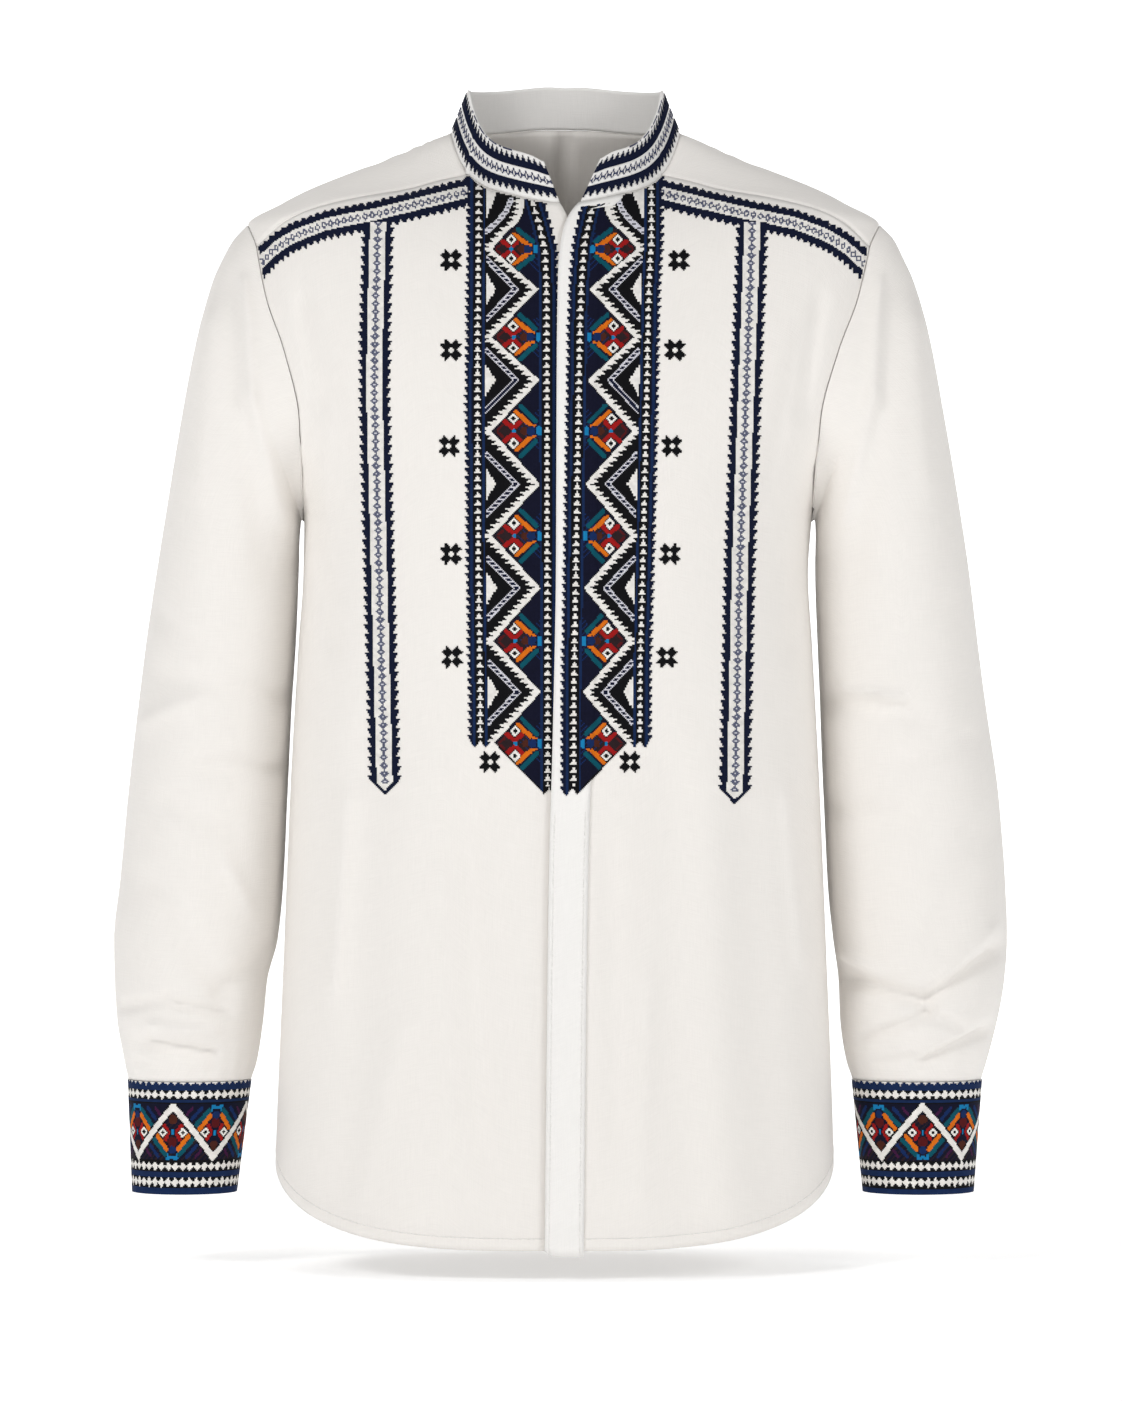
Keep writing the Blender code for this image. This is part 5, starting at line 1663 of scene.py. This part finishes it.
def seam_stitches(name, grid, path_rows, path_columns, outward, material):
    """A row of small raised stitches along a path of a grid, given by fractional rows and columns."""
    path = at_places(grid, path_rows, path_columns)
    normals = outward * at_places(surface_normals(grid), path_rows, path_columns)
    run = np.concatenate([[0.0], np.cumsum(np.linalg.norm(np.diff(path, axis=0), axis=-1))])
    starts = np.arange(0.5 * SEAM_PITCH, run[-1] - SEAM_PITCH, SEAM_PITCH)
    start = np.stack([np.interp(starts, run, path[:, k]) for k in range(3)], axis=-1)
    end = np.stack([np.interp(starts + SEAM_STITCH, run, path[:, k]) for k in range(3)], axis=-1)
    normal = np.stack([np.interp(starts, run, normals[:, k]) for k in range(3)], axis=-1)
    aside = np.cross(end - start, normal)
    aside *= SEAM_HALF_WIDTH / np.linalg.norm(aside, axis=-1, keepdims=True)
    corners = np.stack([start + aside, end + aside, end - aside, start - aside], axis=1)
    corners = corners + SEAM_LIFT * normal[:, None]
    faces = np.arange(4 * len(start)).reshape(-1, 4)
    square = np.array([(0.0, 0.0), (1.0, 0.0), (1.0, 1.0), (0.0, 1.0)]) * SEAM_STITCH * MM
    uv = np.tile(square, (len(start), 1))
    piece = piece_from(name, corners.reshape(-1, 3), faces, uv, material, smooth=False)
    return walled(piece, SEAM_THICKNESS)


def at_places(grid, rows, columns):
    """Points of a grid at fractional rows and columns, one for each pair."""
    row = np.clip(rows.astype(int), 0, grid.shape[0] - 2)
    column = np.clip(columns.astype(int), 0, grid.shape[1] - 2)
    down = (rows - row)[:, None]
    across = (columns - column)[:, None]
    first = (1.0 - across) * grid[row, column] + across * grid[row, column + 1]
    second = (1.0 - across) * grid[row + 1, column] + across * grid[row + 1, column + 1]
    return (1.0 - down) * first + down * second


def hem_seam(name, grid, outward, material):
    """Stitches of the hem's turned-up band, at one height above the edge all along it."""
    above_edge = grid[:SEAM_SEARCH_ROWS, :, 2] - grid[0, :, 2]
    steps = np.arange(SEAM_SEARCH_ROWS, dtype=float)
    columns = np.arange(grid.shape[1], dtype=float)
    rows = np.array([np.interp(SEAM_FROM_HEM, rise, steps) for rise in above_edge.T])
    return seam_stitches(name, grid, rows, columns, outward, material)


def new_material(name, surface):
    """A material with the given settings of its surface; gives it, its node tree and its shader."""
    material = bpy.data.materials.new(name)
    material.use_nodes = True
    tree = material.node_tree
    shader = tree.nodes["Principled BSDF"]
    for setting, value in surface.items():
        shader.inputs[setting].default_value = value
    return material, tree, shader


def math_node(tree, operation, first, second=None):
    """Output of a Math node on one socket, or on a socket and a second socket or number."""
    node = tree.nodes.new("ShaderNodeMath")
    node.operation = operation
    tree.links.new(first, node.inputs[0])
    if isinstance(second, float):
        node.inputs[1].default_value = second
    elif second is not None:
        tree.links.new(second, node.inputs[1])
    return node.outputs["Value"]


def add_bump(tree, height, strength, depth, shader):
    """Bump of a surface from a height, with its strength and its depth in metres."""
    bump = tree.nodes.new("ShaderNodeBump")
    bump.inputs["Strength"].default_value = strength
    bump.inputs["Distance"].default_value = depth
    tree.links.new(height, bump.inputs["Height"])
    tree.links.new(bump.outputs["Normal"], shader.inputs["Normal"])


def noise_from(tree, vector, scale, detail):
    """Output of a noise over a vector."""
    noise = tree.nodes.new("ShaderNodeTexNoise")
    noise.inputs["Scale"].default_value = scale
    noise.inputs["Detail"].default_value = detail
    tree.links.new(vector, noise.inputs["Vector"])
    return noise.outputs["Fac"]


def thread_material():
    """Embroidery cotton: the chart's colour, a soft gleam, and a small cushion for each stitch."""
    material, tree, shader = new_material("embroidery_thread", THREAD_SURFACE)
    colour = tree.nodes.new("ShaderNodeAttribute")
    colour.attribute_type = "GEOMETRY"
    colour.attribute_name = "thread_colour"
    place = tree.nodes.new("ShaderNodeTexCoord")
    split = tree.nodes.new("ShaderNodeSeparateXYZ")
    tree.links.new(place.outputs["UV"], split.inputs["Vector"])
    cushions = []
    for axis in ("X", "Y"):
        turn = math_node(tree, "MULTIPLY", split.outputs[axis], math.pi)
        cushions.append(math_node(tree, "ABSOLUTE", math_node(tree, "SINE", turn)))
    cushion = math_node(tree, "MULTIPLY", cushions[0], cushions[1])
    add_bump(tree, cushion, THREAD_BUMP_STRENGTH, THREAD_BUMP_DEPTH, shader)
    shade = tree.nodes.new("ShaderNodeMapRange")
    shade.inputs["To Min"].default_value = THREAD_TONE_LEAST
    shade.inputs["To Max"].default_value = THREAD_TONE_MOST
    noise = noise_from(tree, place.outputs["UV"], THREAD_TONE_SCALE, THREAD_TONE_DETAIL)
    tree.links.new(noise, shade.inputs["Value"])
    toned = tree.nodes.new("ShaderNodeVectorMath")
    toned.operation = "SCALE"
    tree.links.new(colour.outputs["Color"], toned.inputs[0])
    tree.links.new(shade.outputs["Result"], toned.inputs["Scale"])
    tree.links.new(toned.outputs["Vector"], shader.inputs["Base Color"])
    return material


def linen(name, colour):
    """Off-white linen: a plain weave of uneven threads, as bump, and a faint change of tone."""
    material, tree, shader = new_material(name, LINEN_SURFACE)
    place = tree.nodes.new("ShaderNodeTexCoord")

    def threads(scale_x, scale_y):
        stretch = tree.nodes.new("ShaderNodeMapping")
        stretch.inputs["Scale"].default_value = (scale_x, scale_y, 1.0)
        tree.links.new(place.outputs["UV"], stretch.inputs["Vector"])
        return noise_from(tree, stretch.outputs["Vector"], 1.0, WEAVE_DETAIL)

    warp = threads(WEAVE_ACROSS_THREAD, WEAVE_ALONG_THREAD)
    weft = threads(WEAVE_ALONG_THREAD, WEAVE_ACROSS_THREAD)
    weave = math_node(tree, "ADD", warp, weft)
    add_bump(tree, weave, LINEN_BUMP_STRENGTH, LINEN_BUMP_DEPTH, shader)
    tone = tree.nodes.new("ShaderNodeValToRGB")
    dark, light = tone.color_ramp.elements
    dark.position = 0.25
    dark.color = tuple(c * LINEN_DARK_SHARE for c in colour[:3]) + (1.0,)
    light.position = 0.75
    light.color = colour
    tree.links.new(math_node(tree, "MULTIPLY", weave, 0.5), tone.inputs["Fac"])
    tree.links.new(tone.outputs["Color"], shader.inputs["Base Color"])
    return material


def add_camera():
    """Level camera far in front of the shirt, so that a pixel is 0.71 mm in the plane of the arms."""
    lens = bpy.data.cameras.new("camera")
    lens.sensor_fit = "HORIZONTAL"
    lens.sensor_width = 36.0
    lens.lens = 36.0 * CAMERA_DISTANCE / (PICTURE_WIDTH * PIXEL)
    lens.clip_end = 100.0
    camera = bpy.data.objects.new("camera", lens)
    camera.location = (CAMERA_X * MM, -CAMERA_DISTANCE * MM, CAMERA_Z * MM)
    camera.rotation_euler = (math.radians(90.0), 0.0, 0.0)
    bpy.context.scene.collection.objects.link(camera)
    bpy.context.scene.camera = camera


def add_studio(floor_z):
    """A pale floor that curves up far behind and glows with painted light, and soft lights at both
    sides, in front and behind.
    """
    across = np.linspace(-FLOOR_REACH, FLOOR_REACH, 9)
    run = np.linspace(-FLOOR_REACH, BEND_STARTS_Y, 12)
    bend = np.linspace(0.0, math.pi / 2.0, 12)
    y = np.concatenate([run, BEND_STARTS_Y + BEND_RADIUS * np.sin(bend)])
    z = np.concatenate([np.full(12, floor_z), floor_z + BEND_RADIUS * (1.0 - np.cos(bend))])
    y = np.append(y, y[-1])
    z = np.append(z, z[-1] + WALL_HEIGHT)
    points = np.stack(np.broadcast_arrays(across[None, :], y[:, None], z[:, None]), axis=-1)
    material, tree, shader = new_material("pale_floor_painted_glow", FLOOR_SURFACE)
    place = tree.nodes.new("ShaderNodeTexCoord")
    split = tree.nodes.new("ShaderNodeSeparateXYZ")
    # Painted light: the floor's emission rises from front to back and lifts the shadow under the hem
    glow = tree.nodes.new("ShaderNodeMapRange")
    glow.inputs["From Min"].default_value = GLOW_STARTS_Y * MM
    glow.inputs["From Max"].default_value = GLOW_FULL_Y * MM
    glow.inputs["To Min"].default_value = GLOW_FRONT
    glow.inputs["To Max"].default_value = GLOW_BACK
    tree.links.new(place.outputs["Object"], split.inputs["Vector"])
    tree.links.new(split.outputs["Y"], glow.inputs["Value"])
    tree.links.new(glow.outputs["Result"], shader.inputs["Emission Strength"])
    faces = grid_faces(points.shape[0], points.shape[1], False, False)
    uv = arc_lengths(points).reshape(-1, 2)[faces.ravel()]
    floor = piece_from("floor", points.reshape(-1, 3), faces, uv, material)
    for name, place, target, size, power in LIGHTS:
        lamp = bpy.data.lights.new(name, "AREA")
        lamp.shape = "SQUARE"
        lamp.size = size * MM
        lamp.energy = power
        light = bpy.data.objects.new(name, lamp)
        light.location = tuple(v * MM for v in place)
        aim = np.array(target) - np.array(place)
        light.rotation_euler = direction(aim)
        light.visible_camera = False
        bpy.context.scene.collection.objects.link(light)
    world = bpy.data.worlds.new("studio")
    world.use_nodes = True
    world.node_tree.nodes["Background"].inputs["Color"].default_value = (1.0, 1.0, 1.0, 1.0)
    world.node_tree.nodes["Background"].inputs["Strength"].default_value = WORLD_STRENGTH
    bpy.context.scene.world = world


def direction(aim):
    """Turn of a light whose beam, its own -Z, points along aim."""
    length = float(np.linalg.norm(aim))
    tilt = math.acos(-aim[2] / length)
    turn = math.atan2(aim[1], aim[0]) - math.pi / 2.0
    return (tilt, 0.0, turn)


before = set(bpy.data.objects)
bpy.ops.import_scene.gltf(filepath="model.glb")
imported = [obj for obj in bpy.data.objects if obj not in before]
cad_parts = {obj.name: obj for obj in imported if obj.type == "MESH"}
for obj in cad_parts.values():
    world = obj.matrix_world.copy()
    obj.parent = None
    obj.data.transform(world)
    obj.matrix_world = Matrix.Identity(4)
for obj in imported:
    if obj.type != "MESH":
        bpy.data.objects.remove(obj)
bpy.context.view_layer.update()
add_camera()

linen_front = linen("linen_front", linear(247, 243, 238))
linen_band = linen("linen_band", linear(250, 248, 245))

front_left = front_panel(1.0, over_columns)
front_right = front_panel(-1.0, under_columns)
back = back_grid()
collar = collar_grid(neck_edge(front_left, back, front_right))

shells = {
    "back": cloth("shirt_back", back, CLOTH, linen_front, flip=True),
    "front_left": cloth("shirt_front_left", front_left, CLOTH, linen_front),
    "front_right": cloth("shirt_front_right", front_right, CLOTH, linen_front, flip=True),
    "placket": cloth("shirt_placket", placket_grid(front_left), CLOTH, linen_band),
    "collar": cloth("shirt_collar", collar, BAND_CLOTH, linen_band),
}
for wearer_side, side, folds, fine, hidden in (
    ("right", -1.0, RIGHT_SLEEVE_FOLDS, RIGHT_SLEEVE_CREASES, LEFT_SLEEVE_FOLDS),
    ("left", 1.0, LEFT_SLEEVE_FOLDS, LEFT_SLEEVE_CREASES, RIGHT_SLEEVE_FOLDS),
):
    shown = np.concatenate([np.array(folds), fine])
    mirrored = np.array(hidden) * np.array([-1.0, 1.0, -1.0, 1.0, 1.0, 1.0])
    sleeve = sleeve_grid(side, shown, mirrored)
    node = f"sleeve_{wearer_side}"
    shells[node] = cloth(f"shirt_{node}", sleeve, CLOTH, linen_front, flip=side < 0.0, closed=True)
    node = f"cuff_{wearer_side}"
    cuff = cuff_grid(side)
    shells[node] = cloth(f"shirt_{node}", cuff, BAND_CLOTH, linen_band, flip=side < 0.0, closed=True)

thread = thread_material()
sewn = {}
for side, node, first_px, last_px in SEWN_FRONTS:
    x_px = np.arange(first_px, last_px, STITCH)
    y_px = np.arange(SEWN_TOP_PX, SEWN_BOTTOM_PX, STITCH)[:, None]
    corners = front_stitch_corners(*np.broadcast_arrays(x_px, y_px), side)
    chart = Chart(0.5 * (x_px[1:] + x_px[:-1]), 0.5 * (y_px[1:] + y_px[:-1]))
    panel_chart(chart, int(side))
    shoulder_strip(chart, side, chart.thread < 0)
    chest_strip(chart, side)
    chart.thread[~on_front(corners, side)] = -1
    sewn[f"embroidery_{node}"] = stitches(f"embroidery_{node}", corners, chart, thread)


def collar_painter(rows, columns, drop):
    chart = Chart(STITCH * (np.arange(columns) + 0.5), STITCH * (rows - np.arange(rows)[:, None] - 0.5))
    collar_chart(chart, drop)
    return chart


def cuff_painter(side, first_peak):
    """Cuff columns start at the outer side: the turn from the front is signed to the picture's right."""

    def paint(rows, columns, _drop):
        turn = (np.arange(columns) + 0.5) / columns * 2.0 * math.pi - 0.5 * math.pi
        share = (np.arange(rows)[:, None] + 0.5) / rows
        chart = Chart(-side * np.degrees(turn), CUFF_PICTURE_HEIGHT * share)
        cuff_chart(chart, first_peak)
        return chart

    return paint


sewn["embroidery_collar"] = band_stitches("embroidery_collar", collar, collar_painter, False, thread)
for wearer_side, side, first_peak in (("right", -1.0, -12.0), ("left", 1.0, 2.0)):
    name = f"embroidery_cuff_{wearer_side}"
    sewn[name] = band_stitches(name, cuff_grid(side), cuff_painter(side, first_peak), True, thread)

placket = placket_grid(front_left)
for name, grid, outward in (
    ("seam_front_left", front_left, 1.0),
    ("seam_front_right", front_right, -1.0),
    ("seam_back", back, -1.0),
):
    sewn[name] = hem_seam(name, grid, outward, linen_band)
for name, column in zip(("seam_placket_edge", "seam_placket_inner"), PLACKET_SEAMS):
    path_rows = np.flatnonzero(placket[:, 0, 2] < PLACKET_SEAM_TOP_Z).astype(float)
    path_columns = np.full(path_rows.shape, column)
    sewn[name] = seam_stitches(name, placket, path_rows, path_columns, 1.0, linen_band)

for node, shell in shells.items():
    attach(shell, "root")
    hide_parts(node)
for piece in sewn.values():
    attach(piece, "root")

add_studio(FLOOR_Z)
bpy.context.scene.view_settings.view_transform = "Standard"
